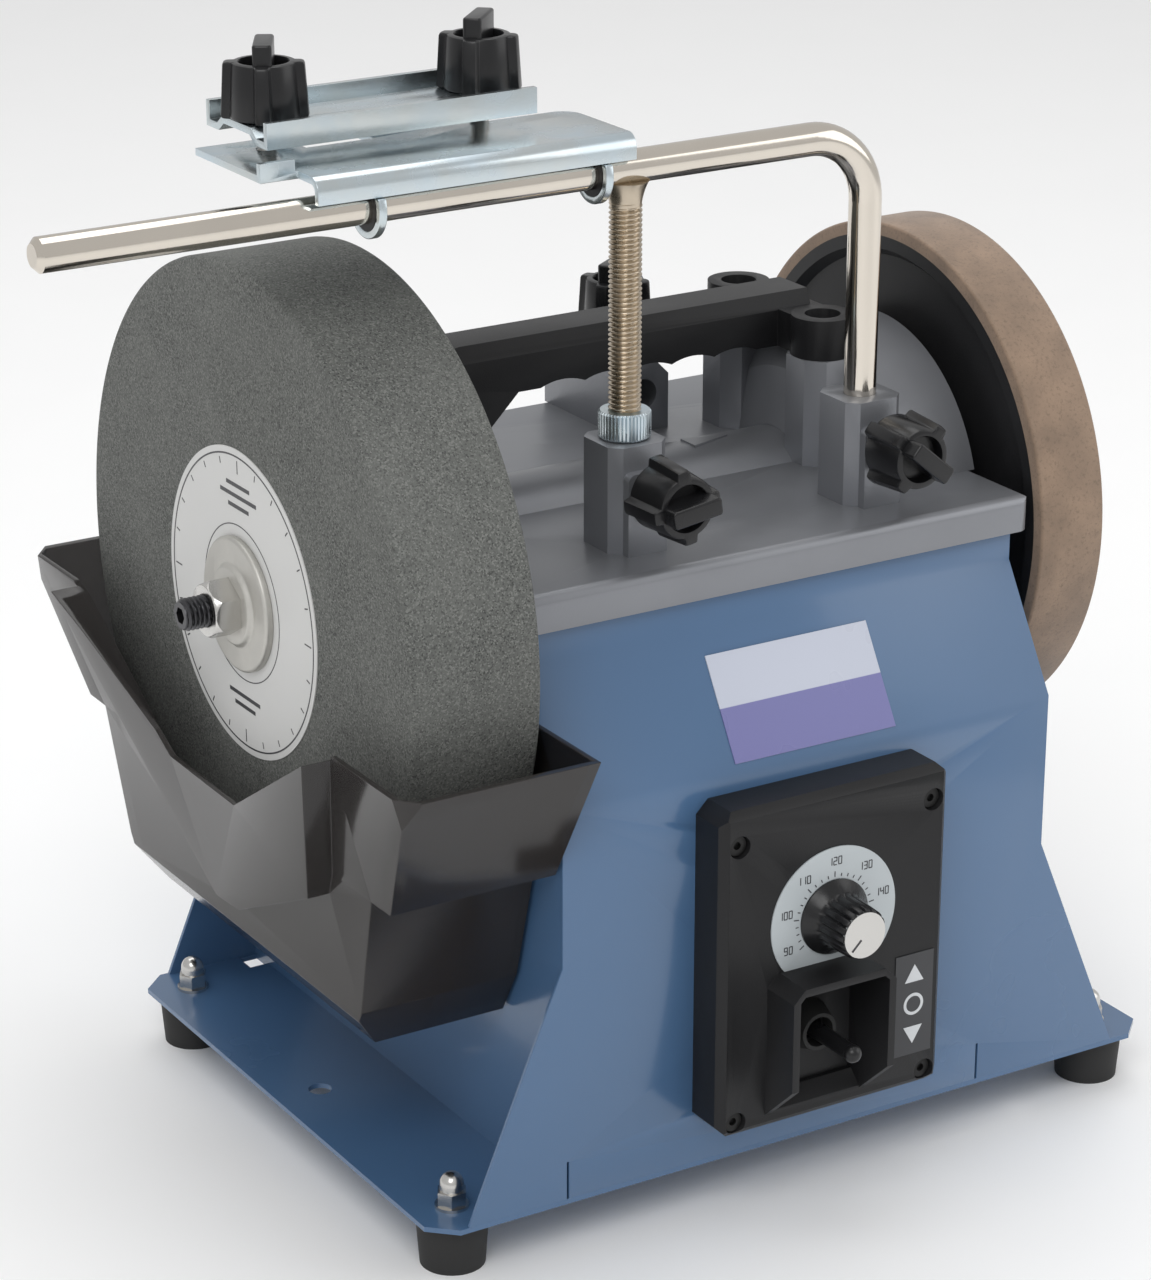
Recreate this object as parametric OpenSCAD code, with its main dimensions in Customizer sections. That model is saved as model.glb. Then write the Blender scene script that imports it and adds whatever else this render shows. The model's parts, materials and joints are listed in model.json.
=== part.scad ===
// Wet stone and honing machine: a stone wheel and a leather wheel on one slow shaft, driven by a friction
// roller inside a sheet-steel housing, with a support bar, a clamping jig and a water trough.
// X runs along the shaft towards the leather wheel, -Y is the control side, Z is up from the feet.

/* [Stone wheel] */
// outer diameter of the stone
stone_d = 250; // [180:1:300]
// width of the stone
stone_w = 50; // [30:1:70]
// room between the shaft and the bore of the stone, on the diameter
stone_fit = 0.2; // [0.1:0.05:0.6]
// diameter of the paper disc on the stone
paper_d = 115; // [60:1:150]
// thickness of the paper disc
paper_t = 0.4; // [0.2:0.1:1]
// gap between the stone and the housing wall
stone_gap = 9.5; // [8:0.5:30]
// diameter of both clamping flanges
flange_d = 50; // [30:1:80]
// thickness of the outer flange
outer_flange_t = 5; // [3:0.5:10]
// thickness of the inner flange
inner_flange_t = 3; // [2:0.5:4]
// width across flats of the wheel nut
nut_af = 19; // [17:1:24]
// height of the wheel nut
nut_h = 10; // [6:0.5:16]

/* [Honing wheel] */
// diameter over the leather
honing_d = 199; // [120:1:250]
// width of the honing wheel
honing_w = 29; // [20:1:50]
// thickness of the leather ring
leather_t = 5; // [3:0.5:8]
// gap between the honing wheel and the housing wall
honing_gap = 11.9; // [9.5:0.1:30]
// thickness of the moulded rim and web
core_wall = 5; // [3:0.5:8]
// diameter of the honing wheel hub
hub_d = 36; // [28:1:50]
// diameter of the finger nut
finger_nut_d = 40; // [30:1:60]
// height of the finger nut
finger_nut_h = 14; // [8:0.5:20]

/* [Shaft and drive] */
// shaft diameter
shaft_d = 12; // [10:0.5:16]
// height of the shaft axis above the floor
shaft_height = 224; // [200:1:260]
// length of shaft that stands past each nut
shaft_tip = 9.5; // [4:0.5:20]
// outside diameter of a shaft bush
bush_d = 22; // [18:0.5:30]
// length of a shaft bush
bush_len = 20; // [10:1:30]
// running clearance all round a turning shaft
run_gap = 0.06; // [0.02:0.01:0.09]
// outside diameter of the spacer sleeves
spacer_d = 18; // [15:0.5:22]
// outside diameter of the friction drive wheel
drive_d = 116; // [90:1:122]
// width of the friction drive wheel
drive_w = 20; // [12:1:24]
// thickness of the rubber ring on the drive wheel
drive_rubber_t = 3; // [2:0.5:6]
// diameter of the motor roller
roller_d = 16; // [12:0.5:24]
// gap between roller and rubber ring
roller_gap = 0.3; // [0.3:0.05:0.6]
// motor axis offset towards the rear
motor_back = 22; // [0:1:35]
// diameter of the motor can
motor_d = 84; // [60:1:95]
// length of the motor can
motor_len = 82; // [60:1:95]
// motor shaft diameter
motor_shaft_d = 10; // [8:0.5:12]

/* [Housing] */
// length of the housing along the shaft
housing_len = 210.7; // [175:0.1:260]
// base plate past the housing on the stone side
base_left = 52.4; // [45:0.1:70]
// base plate past the housing on the honing side
base_right = 58; // [45:0.1:70]
// depth of the base plate
base_depth = 245.4; // [200:0.2:300]
// corner cut of the base plate along X
base_corner_x = 9.8; // [4:0.1:20]
// corner cut of the base plate along Y
base_corner_y = 9.2; // [4:0.1:20]
// depth of the housing at its top
top_depth = 191; // [180:1:200]
// height of the upper bend
bend_high = 219.4; // [205:0.1:225]
// height of the lower bend
bend_low = 174; // [140:1:180]
// height where the side edges start to flare
waist_height = 114; // [80:1:130]
// flare of the panels at the bottom, each end
flare = 39.4; // [20:0.1:44]
// sheet thickness of the housing
sheet_t = 1.5; // [1:0.1:3]
// sheet thickness of the base plate
base_t = 2; // [1.5:0.1:4]
// bore of the mounting hole in each end of the base
base_hole_d = 9; // [6:0.5:12]
// height of the relief slits at the bottom of the panels
slit_h = 15; // [8:1:30]
// diameter of the wall holes round the shaft
wall_hole_d = 30; // [24:1:40]

/* [Feet] */
// foot height
foot_h = 20; // [12:1:35]
// foot diameter at the top
foot_top_d = 27; // [22:0.5:34]
// foot diameter at the floor
foot_low_d = 24; // [18:0.5:34]
// distance of the foot bolts from the end edges
foot_in_x = 16.2; // [15:0.1:30]
// distance of the foot bolts from the front and rear edges
foot_in_y = 17.5; // [15:0.1:30]
// foot bolt diameter
foot_bolt_d = 6; // [5:0.5:8]

/* [Cover] */
// height of the deck above the shaft axis
deck_rise = 20.2; // [16:0.1:26]
// casting wall
cast_t = 4; // [3:0.5:5]
// height of the lip all round
lip_h = 13.7; // [8:0.1:16]
// lip thickness
lip_t = 2.7; // [2:0.1:4]
// cover past the housing on the stone side
cover_left = 5; // [4:0.1:6]
// cover past the housing on the honing side
cover_right = 7; // [4.5:0.1:9]
// rounding of the upper edge
edge_r = 4; // [1:0.5:6]
// outside diameter of the ridge over the shaft
ridge_d = 56; // [46:1:64]
// outside diameter of the dome over the drive wheel
dome_d = 133; // [130:1:150]
// length of the full round part of the dome
dome_len = 30; // [26:1:40]
// dome shoulder length
dome_shoulder = 18; // [10:1:24]

/* [Sleeves and posts] */
// side of an upright sleeve
sleeve_w = 24; // [20:0.5:30]
// corner cut of a sleeve
sleeve_cut = 4; // [2:0.5:6]
// height of the upright sleeves above the deck
sleeve_rise = 39.3; // [30:0.1:50]
// depth of the upright sleeves below the deck
sleeve_below = 14; // [8:1:20]
// distance between the two legs of the support bar
leg_spacing = 101.6; // [90:0.1:110]
// distance of the upright sleeves from the shaft plane
leg_front = 64.3; // [60:0.1:76]
// threaded leg position from the housing end
leg_from_end = 61.3; // [40:0.1:70]
// sliding clearance all round a leg
leg_gap = 0.08; // [0.03:0.01:0.2]
// height of the level sleeve bores above the deck
level_rise = 15; // [13:0.5:25]
// width of a level sleeve
level_w = 23; // [20:0.5:30]
// length of a level sleeve
level_len = 55; // [40:1:60]
// height of a level sleeve above its bore axis
level_wall_up = 13; // [11:0.5:20]
// shift of the level sleeves towards the stone
level_shift = 25.8; // [0:0.1:26]
// clamp screw height above the deck
clamp_rise = 24.3; // [16:0.1:32]
// side of a handle post
post_w = 24; // [20:0.5:30]
// height of the handle posts above the deck
post_rise = 41.1; // [30:0.1:50]
// handle post distance from the housing end
post_from_end = 33.7; // [25:0.1:60]
// handle centre line behind the shaft
handle_back = 8.6; // [0:0.1:14]
// distance between the two posts
post_span = 56.8; // [50:0.1:62]

/* [Handle] */
// length from the posts to the far foot
handle_len = 155; // [110:1:160]
// width of the grip
grip_w = 24; // [18:0.5:30]
// thickness of the grip
grip_t = 20; // [14:0.5:26]
// height of the lugs
lug_h = 15.4; // [10:0.1:20]
// diameter of a lug
lug_d = 24; // [20:0.5:30]
// number of finger waves
wave_n = 5; // [3:1:7]
// pitch of the finger waves
wave_pitch = 19; // [14:1:22]

/* [Support bar] */
// bar diameter
bar_d = 12; // [10:0.5:16]
// bar axis above the deck
bar_rise = 136.3; // [100:0.1:160]
// reach of the bar past the threaded leg
bar_reach = 222.4; // [160:0.1:260]
// bend radius on the centre line
bar_bend = 25; // [18:1:40]
// length of the legs below the deck
leg_below = 30; // [20:1:34]
// knurled nut diameter
height_nut_d = 19; // [16:0.5:26]
// knurled nut height
height_nut_h = 10; // [6:0.5:16]

/* [Clamp knobs] */
// knob diameter
knob_d = 30; // [24:1:36]
// knob height
knob_h = 19; // [14:0.5:26]
// height of the cross bar on a knob
knob_bar_h = 7; // [3:0.5:10]
// clamp screw diameter
screw_d = 6; // [5:0.5:8]
// screw length seen behind a front clamp knob
screw_out = 7; // [5:0.5:20]
// screw length seen under a rear clamp knob
rear_screw_out = 10; // [3:0.5:20]
// room left between a backed-off screw tip and the bar it clamps
tip_gap = 0.4; // [0.3:0.1:2]

/* [Jig] */
// length of the lower plate
jig_len = 123; // [90:1:150]
// depth of the lower plate
jig_depth = 62; // [50:1:80]
// plate thickness
jig_t = 2.5; // [2:0.1:4]
// height of the rolled front edge
roll_h = 9; // [6:0.5:10]
// outer radius of the rolled front edge
roll_r = 5; // [3:0.5:5.5]
// width of a hook
hook_w = 3; // [2:0.5:6]
// liner wall
liner_t = 2.2; // [1.5:0.1:3]
// distance from the right hook to the threaded leg
hook_from_leg = 13; // [12:0.5:30]
// distance between the hooks
hook_span = 88; // [60:1:110]
// length of the upper clamp
clamp_len = 104; // [80:1:120]
// depth of the upper clamp
clamp_depth = 45; // [30:1:55]
// flange height of the upper clamp
clamp_flange = 9; // [5:0.5:14]
// distance between the clamp studs
stud_span = 83; // [60:1:96]
// stud diameter
stud_d = 7; // [6:0.5:8]
// open gap of the jig
jig_gap = 5; // [3:0.5:10]

/* [Control box] */
// box width
box_w = 98.4; // [80:0.1:120]
// box height
box_h = 128; // [110:1:140]
// box depth in front of the panel
box_depth = 17.5; // [14:0.5:30]
// wall of the box
box_wall = 2.5; // [2:0.1:4]
// height of the lower edge of the box
box_low = 38; // [30:1:42]
// box centre from the housing centre
box_x = -1.2; // [-15:0.1:15]
// screw spacing across
box_screw_x = 83.7; // [60:0.1:86]
// screw spacing upwards
box_screw_z = 109; // [80:0.5:112]
// dial diameter
dial_d = 54; // [44:1:60]
// height of the dial centre above the box edge
dial_up = 79; // [70:1:88]
// speed knob skirt diameter
skirt_d = 29; // [24:0.5:34]
// speed knob grip diameter
grip_d = 20.5; // [16:0.5:24]
// speed knob length
speed_len = 19; // [12:0.5:26]
// guard width
guard_w = 44.7; // [38:0.1:56]
// guard height
guard_h = 56; // [46:1:58]
// guard depth in front of the box
guard_depth = 17; // [10:0.5:22]
// guard wall
guard_wall = 3; // [2:0.1:4]
// recess depth behind the box face
recess_depth = 7.5; // [5:0.5:8]
// switch height above the box edge
switch_up = 34.5; // [30:0.5:44]
// length of the toggle lever past the boot
lever_len = 21.5; // [12:0.5:26]
// symbol label width
symbol_w = 17; // [12:0.5:17]
// symbol label height
symbol_h = 41; // [30:0.5:50]

/* [Label] */
// front label width
badge_w = 69.6; // [40:0.1:90]
// front label height
badge_h = 40; // [20:0.1:46]
// label thickness
badge_t = 0.4; // [0.2:0.1:1]
// distance of the label centre below the middle of the slope
badge_down = 4.3; // [0:0.1:6]

/* [Trough] */
// trough wall
tank_wall = 2.2; // [1.8:0.1:4]
// water depth space below the stone
tank_under = 16; // [13:0.5:30]
// rim height below the shaft axis
rim_drop = 21; // [19:1:60]
// space in front of and behind the stone at the rim
tank_ends = 26; // [14:1:40]
// space outside the stone at the rim
tank_side = 18; // [12:0.5:26]
// extra depth of the side bulge
bulge_out = 11; // [6:0.5:14]
// height of the step under the upper band
step_height = 150; // [140:1:160]
// how far the trough lifts to come off its wall slots
tank_lift = 3.5; // [2.5:0.5:4]

/* [Hidden] */
$fn = 64;
half_len = housing_len / 2;
half_base = base_depth / 2;
base_x0 = -half_len - base_left;
base_x1 = half_len + base_right;
base_top = foot_h + base_t;
stone_bore = shaft_d + stone_fit;
stone_in = -half_len - stone_gap;
stone_out = stone_in - stone_w;
nut_in = stone_out - paper_t - outer_flange_t;
shaft_x0 = nut_in - nut_h - shaft_tip;
honing_in = half_len + honing_gap;
honing_out = honing_in + honing_w;
hub_out = honing_out - 8;
shaft_x1 = hub_out + finger_nut_h - 1;
deck = shaft_height + deck_rise;
deck_under = deck - cast_t;
cover_x0 = -half_len - cover_left;
cover_x1 = half_len + cover_right;
lip_gap = 0.3;
cover_y = top_depth / 2 + lip_gap + lip_t;
lip_low = deck - lip_h;
wall_top = deck_under;
leg_x0 = -half_len + leg_from_end;
leg_x1 = leg_x0 + leg_spacing;
level_x0 = leg_x0 - level_shift;
level_x1 = leg_x1 - level_shift;
level_z = deck + level_rise;
level_y1 = cover_y - 1;
level_y0 = level_y1 - level_len;
level_knob_y = level_y0 + 21;
sleeve_top = deck + sleeve_rise;
clamp_z = deck + clamp_rise;
pad_y = -leg_front - sleeve_w / 2 - 3.7;
post_x = half_len - post_from_end;
post_y0 = handle_back - post_span / 2;
post_y1 = handle_back + post_span / 2;
post_top = deck + post_rise;
dome_x1 = cover_x1;
dome_x0 = dome_x1 - dome_len;
bush_x0 = cover_x0 + 15;
bush_x1 = dome_x0 - 31;
drive_x1 = half_len - sheet_t - 3;
drive_x0 = drive_x1 - drive_w;
motor_span = drive_d / 2 + roller_d / 2 + roller_gap;
motor_z = shaft_height - sqrt(motor_span * motor_span - motor_back * motor_back);
drive_gap = 2.5;
bracket_x = drive_x0 - 18;
motor_x1 = bracket_x - 2;
motor_x0 = motor_x1 - motor_len;
panel_y = half_base;
top_y = top_depth / 2;
bar_z = deck + bar_rise;
bar_y = -leg_front;
bar_x0 = leg_x0 - bar_reach;
bar_r = bar_d / 2;
box_x0 = box_x - box_w / 2;
box_x1 = box_x + box_w / 2;
box_z1 = box_low + box_h;
face_y = -panel_y - box_depth;
dial_x = box_x - 1.2;
dial_z = box_low + dial_up;
switch_x = box_x - 6.8;
switch_z = box_low + switch_up;
recess_y = face_y + recess_depth;
guard_x0 = switch_x - guard_w / 2;
guard_x1 = switch_x + guard_w / 2;
guard_z0 = box_low + 6;
guard_z1 = guard_z0 + guard_h;
guard_y = face_y - guard_depth;
screw_z0 = box_low + 5.8;
hook_x1 = leg_x0 - hook_from_leg;
hook_x0 = hook_x1 - hook_span;
liner_r = bar_r + run_gap + liner_t;
hook_r = liner_r + run_gap;
hook_wall = 2.7;
jig_x1 = hook_x1 + 12;
jig_x0 = jig_x1 - jig_len;
jig_z = bar_z + hook_r + hook_wall;
jig_top = jig_z + jig_t;
jig_y0 = bar_y - hook_r - 0.4;
clamp_x0 = jig_x0 - 5;
clamp_y0 = jig_y0 + 26;
clamp_low = jig_top + jig_gap;
stud_x0 = clamp_x0 + 11;
stud_y = clamp_y0 + clamp_depth / 2;
tank_x1 = -half_len - 1.8;
tank_low = shaft_height - stone_d / 2 - tank_under;
rim_z = shaft_height - rim_drop;
rim_y = stone_d / 2 + tank_ends;
rim_x = stone_out - tank_side;
tongue_z = rim_z - 14;
hook_y = 70;
step_rise = shaft_height - step_height;
step_y = sqrt(stone_d * stone_d / 4 - step_rise * step_rise) + 6.758;
slope_angle = atan2(bend_high - bend_low, panel_y - top_y);
min_x = min(bar_x0, rim_x - bulge_out, base_x0, shaft_x0);
max_x = max(base_x1, shaft_x1, honing_out);
lever_y = face_y - 2.4 - lever_len;
min_y = min(lever_y - 1.4, face_y - speed_len - 1.3, guard_y, -rim_y);
max_y = max(rim_y, panel_y);
blue = [0.43, 0.56, 0.72];
cast_grey = [0.62, 0.64, 0.67];
black = [0.09, 0.09, 0.1];
rubber = [0.05, 0.05, 0.05];
bright = [0.78, 0.79, 0.8];
zinc = [0.66, 0.7, 0.72];
steel = [0.5, 0.5, 0.52];

module placed() {
    translate([-(min_x + max_x) / 2, -(min_y + max_y) / 2, 0]) children();
}

module rod_x(x, y, z, len, d) {
    translate([x, y, z]) rotate([0, 90, 0]) cylinder(h = len, d = d);
}

module rod_y(x, y, z, len, d) {
    translate([x, y, z]) rotate([-90, 0, 0]) cylinder(h = len, d = d);
}

module on_shaft(x, len, d) {
    rod_x(x, 0, shaft_height, len, d);
}

// turns a profile of (radius, distance along X) about the shaft axis
module about_shaft() {
    translate([0, 0, shaft_height]) rotate([0, 90, 0]) rotate_extrude($fn = 128) children();
}

// extrudes a (Y, Z) outline along X
module along_x(x, len) {
    translate([x, 0, 0]) rotate([90, 0, 90]) linear_extrude(height = len) children();
}

// extrudes an (X, Z) outline along Y
module along_y(y, len) {
    translate([0, y + len, 0]) rotate([90, 0, 0]) linear_extrude(height = len) children();
}

module box(x0, x1, y0, y1, z0, z1) {
    translate([x0, y0, z0]) cube([x1 - x0, y1 - y0, z1 - z0]);
}

// rectangle from its low corner with all four corners cut
module cut_rect(w, h, cx, cy) {
    polygon([[cx, 0], [w - cx, 0], [w, cy], [w, h - cy], [w - cx, h], [cx, h], [0, h - cy], [0, cy]]);
}

module round_rect(w, h, r) {
    translate([r, 0]) square([w - 2 * r, h]);
    translate([0, r]) square([w, h - 2 * r]);
    for (x = [r, w - r], y = [r, h - r]) translate([x, y]) circle(r = r, $fn = 32);
}

module foot_spots() {
    for (x = [base_x0 + foot_in_x, base_x1 - foot_in_x], y = [-half_base + foot_in_y, half_base - foot_in_y])
        translate([x, y, 0]) children();
}

module base_plate() {
    color(blue) placed() difference() {
        translate([base_x0, -half_base, foot_h]) linear_extrude(height = base_t)
            cut_rect(base_x1 - base_x0, base_depth, base_corner_x, base_corner_y);
        foot_spots() translate([0, 0, foot_h - 1]) cylinder(h = base_t + 2, d = foot_bolt_d + 0.6);
        for (x = [base_x0 + 18.4, base_x1 - 18.4])
            translate([x, 0, foot_h - 1]) cylinder(h = base_t + 2, d = base_hole_d);
        for (s = [-1, 1], y = [-half_base + 3, half_base - 13])
            box(s * (half_len + 4) - 4, s * (half_len + 4) + 4, y, y + 10, foot_h - 1, base_top + 1);
        for (i = [-2:2]) box(-30, 30, i * 16 - 3, i * 16 + 3, foot_h - 1, base_top + 1);
    }
}

// (Y, Z) outline of the bent front sheet
module panel_bend() {
    polygon([[-panel_y, base_top], [-panel_y, bend_low], [-top_y, bend_high], [-top_y, wall_top],
        [-top_y + sheet_t, wall_top], [-top_y + sheet_t, bend_high], [-panel_y + sheet_t, bend_low],
        [-panel_y + sheet_t, base_top]]);
}

// (X, Z) outline shared by the front and rear sheets
module panel_face() {
    polygon([[-half_len - flare, base_top - 1], [half_len + flare, base_top - 1], [half_len, waist_height],
        [half_len, wall_top + 1], [-half_len, wall_top + 1], [-half_len, waist_height]]);
}

module panel_sheet() {
    difference() {
        intersection() {
            along_x(-half_len - flare, housing_len + 2 * flare) panel_bend();
            along_y(-panel_y - 1, panel_y) panel_face();
        }
        for (x = [-half_len + 2, half_len - 26.4])
            box(x - 0.5, x + 0.5, -panel_y - 1, -panel_y + 3, base_top - 1, base_top + slit_h);
    }
}

module box_screw_spots() {
    for (x = [-box_screw_x / 2, box_screw_x / 2], z = [0, box_screw_z])
        translate([box_x + x, 0, screw_z0 + z]) children();
}

module front_panel() {
    color(blue) placed() difference() {
        panel_sheet();
        box(switch_x - 14, switch_x + 14, -panel_y - 1, -panel_y + 3, switch_z - 11, switch_z + 11);
        rod_y(dial_x, -panel_y - 1, dial_z, 4, 12);
        box_screw_spots() rod_y(0, -panel_y - 1, 0, 4, 3.6);
    }
}

module rear_panel() {
    color(blue) placed() difference() {
        mirror([0, 1, 0]) panel_sheet();
        for (i = [0:6]) box(-60 + i * 14, -54 + i * 14, panel_y - 3, panel_y + 1, 100, 150);
        rod_y(half_len - 25, panel_y - 3, 48, 5, 14);
    }
}

// (Y, Z) outline inside both bent sheets
module wall_face() {
    y0 = panel_y - sheet_t;
    y1 = top_y - sheet_t;
    polygon([[-y0, base_top], [y0, base_top], [y0, bend_low], [y1, bend_high], [y1, wall_top],
        [-y1, wall_top], [-y1, bend_high], [-y0, bend_low]]);
}

module left_wall() {
    color(blue) placed() difference() {
        along_x(-half_len, sheet_t) wall_face();
        on_shaft(-half_len - 1, sheet_t + 2, wall_hole_d);
        for (s = [-1, 1])
            box(-half_len - 1, -half_len + sheet_t + 1, s * hook_y - 9, s * hook_y + 9, tongue_z - 0.3,
                tongue_z + 4.6 + tank_lift);
    }
}

module right_wall() {
    color(blue) placed() difference() {
        along_x(half_len - sheet_t, sheet_t) wall_face();
        on_shaft(half_len - sheet_t - 1, sheet_t + 2, wall_hole_d);
    }
}

module rubber_feet() {
    color(rubber) placed() foot_spots() difference() {
        cylinder(h = foot_h, d1 = foot_low_d, d2 = foot_top_d);
        translate([0, 0, -1]) cylinder(h = 9, d = 13);
        cylinder(h = foot_h + 1, d = foot_bolt_d + 0.4);
    }
}

module foot_bolts() {
    color(steel) placed() foot_spots() {
        translate([0, 0, 3.5]) cylinder(h = 4.5, d = 10);
        translate([0, 0, 8]) cylinder(h = base_top + 7.4 - 8, d = foot_bolt_d);
    }
}

module acorn_nuts() {
    color(bright) placed() foot_spots() difference() {
        union() {
            translate([0, 0, base_top]) cylinder(h = 1.2, d = 12.5);
            translate([0, 0, base_top + 1.2]) cylinder(h = 5.5, d = 10 / cos(30), $fn = 6);
            translate([0, 0, base_top + 6.7]) cylinder(h = 2.5, d = 9);
            translate([0, 0, base_top + 9.2]) sphere(d = 9, $fn = 48);
        }
        translate([0, 0, base_top - 1]) cylinder(h = 8.4, d = foot_bolt_d);
    }
}

// deck block with rounded upper edges and corners
module deck_block(x0, x1, y, z0, z1, r) {
    intersection() {
        along_x(x0, x1 - x0) {
            translate([-y, z0 - r]) square([2 * y, z1 - z0]);
            translate([-y + r, z0]) square([2 * (y - r), z1 - z0]);
            for (s = [-1, 1]) translate([s * (y - r), z1 - r]) circle(r = r, $fn = 48);
        }
        along_y(-y, 2 * y) {
            translate([x0, z0 - r]) square([x1 - x0, z1 - z0]);
            translate([x0 + r, z0]) square([x1 - x0 - 2 * r, z1 - z0]);
            for (x = [x0 + r, x1 - r]) translate([x, z1 - r]) circle(r = r, $fn = 48);
        }
        translate([x0, -y, z0]) linear_extrude(height = z1 - z0) round_rect(x1 - x0, 2 * y, 5);
    }
}

module octagon_post(x, y, z0, z1, w, cut) {
    translate([x - w / 2, y - w / 2, z0]) linear_extrude(height = z1 - z0) cut_rect(w, w, cut, cut);
}

// half profile of the dome, (radius, distance along X)
module dome_profile(wall) {
    r = dome_d / 2 - wall;
    x1 = dome_x1 - wall;
    polygon([[0, dome_x0 - dome_shoulder + wall], [r - 38, dome_x0 - dome_shoulder + wall],
        [r - 16, dome_x0 - dome_shoulder * 0.76 + wall], [r - 5, dome_x0 - dome_shoulder * 0.42 + wall],
        [r, dome_x0 + wall], [r, x1], [0, x1]]);
}

// upright sleeve above the deck with its clamp pad
module upright_sleeve(x) {
    octagon_post(x, bar_y, deck, sleeve_top, sleeve_w, sleeve_cut);
    along_y(pad_y, 6) {
        translate([x - 8, deck]) square([16, clamp_rise + 3]);
        translate([x - 5, deck]) square([10, clamp_rise + 6]);
        for (s = [-1, 1]) translate([x + s * 5, clamp_z + 3]) circle(r = 3, $fn = 32);
    }
}

module level_sleeve(x) {
    top = level_z + level_wall_up;
    along_y(level_y0, level_len)
        polygon([[x - level_w / 2, deck], [x + level_w / 2, deck], [x + level_w / 2, top - 6],
            [x + level_w / 2 - 6, top], [x - level_w / 2 + 6, top], [x - level_w / 2, top - 6]]);
}

// room inside the ridge and the dome
module ridge_room() {
    on_shaft(cover_x0 + lip_t, dome_x0 - cover_x0 - lip_t, ridge_d - 2 * cast_t);
    intersection() {
        about_shaft() dome_profile(3.5);
        box(dome_x0 - dome_shoulder, cover_x1 - 3.5, -cover_y, cover_y, lip_low, deck + dome_d);
    }
    on_shaft(drive_x0 - drive_gap, drive_w + 2 * drive_gap, drive_d + 2 * drive_gap);
}

// ways through the cover for the shaft, the bar legs, the clamp screws and the handle screws
module cover_holes() {
    for (x = [cover_x0, cover_x1]) on_shaft(x - 8, 16, spacer_d + 2);
    for (x = [leg_x0, leg_x1]) {
        translate([x, bar_y, lip_low - 6]) cylinder(h = sleeve_top - lip_low + 8, d = bar_d + 2 * leg_gap);
        rod_y(x, pad_y - 1, clamp_z, bar_y - pad_y + 1, screw_d + 2 * run_gap);
    }
    for (x = [level_x0, level_x1]) {
        rod_y(x, level_y0 - 1, level_z, level_len + 3, bar_d + 2 * leg_gap);
        translate([x, level_knob_y, level_z]) cylinder(h = 20, d = screw_d + 2 * run_gap);
    }
    for (y = [post_y0, post_y1]) translate([post_x, y, post_top - 22]) cylinder(h = 23, d = 5);
    translate([post_x - handle_len, handle_back, deck - 1]) cylinder(h = 14, d = 5);
}

module top_cover() {
    color(cast_grey) placed() difference() {
        union() {
            difference() {
                deck_block(cover_x0, cover_x1, cover_y, lip_low, deck, edge_r);
                box(cover_x0 + lip_t, cover_x1 - lip_t, -cover_y + lip_t, cover_y - lip_t, lip_low - 1,
                    deck_under);
            }
            for (x = [leg_x0, leg_x1])
                octagon_post(x, bar_y, deck_under - sleeve_below + cast_t, deck, sleeve_w, sleeve_cut);
        }
        ridge_room();
        cover_holes();
    }
}

// rounded ridge over the shaft, dome over the drive wheel, and the two bush carriers
module shaft_ridge() {
    color(cast_grey) placed() difference() {
        union() {
            difference() {
                intersection() {
                    union() {
                        on_shaft(cover_x0, dome_x0 - cover_x0, ridge_d);
                        about_shaft() dome_profile(0);
                    }
                    box(cover_x0, cover_x1, -cover_y, cover_y, deck, deck + dome_d);
                }
                ridge_room();
            }
            for (x = [bush_x0, bush_x1]) {
                on_shaft(x, bush_len, bush_d + 9);
                box(x, x + bush_len, -9, 9, shaft_height + bush_d / 2 + 2, shaft_height + ridge_d / 2 - 2);
            }
            translate([level_x1 + 2, 0, shaft_height + ridge_d / 2 - 1]) linear_extrude(height = 1.6)
                polygon([[-9, -5], [9, 0], [-9, 5]]);
        }
        for (x = [bush_x0, bush_x1]) on_shaft(x - 1, bush_len + 2, bush_d);
        cover_holes();
    }
}

// sleeves for the bar legs and posts for the handle, all standing on the deck
module cover_posts() {
    color(cast_grey) placed() difference() {
        union() {
            for (x = [leg_x0, leg_x1]) upright_sleeve(x);
            for (x = [level_x0, level_x1]) level_sleeve(x);
            for (y = [post_y0, post_y1]) octagon_post(post_x, y, deck, post_top, post_w, 6);
            octagon_post(post_x - handle_len, handle_back, deck, deck + 12, post_w, 6);
        }
        cover_holes();
        intersection() {
            union() {
                on_shaft(cover_x0 - 1, dome_x0 - cover_x0 + 1, ridge_d);
                about_shaft() dome_profile(0);
            }
            box(cover_x0 - 2, cover_x1 + 2, -cover_y, cover_y, deck - 1, deck + dome_d);
        }
    }
}

// side outline of the grip, the curved end and its foot, (X, Z)
module handle_side() {
    top = post_top + grip_t;
    foot_x = post_x - handle_len;
    difference() {
        union() {
            translate([foot_x + 10, top - grip_t]) square([handle_len - 4, grip_t]);
            intersection() {
                translate([foot_x + 10, top - 20]) circle(r = 20, $fn = 96);
                translate([foot_x - 10, top - 20]) square([20, 20]);
            }
            polygon([[foot_x - 10, deck + 12], [foot_x + 12, deck + 12], [foot_x + 19, top - grip_t - 13],
                [foot_x + 32, top - grip_t], [foot_x + 32, top - 1], [foot_x + 10, top - 1],
                [foot_x - 10, top - 20]]);
        }
        for (i = [0:wave_n - 1])
            translate([post_x - 28 - i * wave_pitch, top - grip_t - 22]) circle(r = 24, $fn = 64);
    }
}

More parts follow.
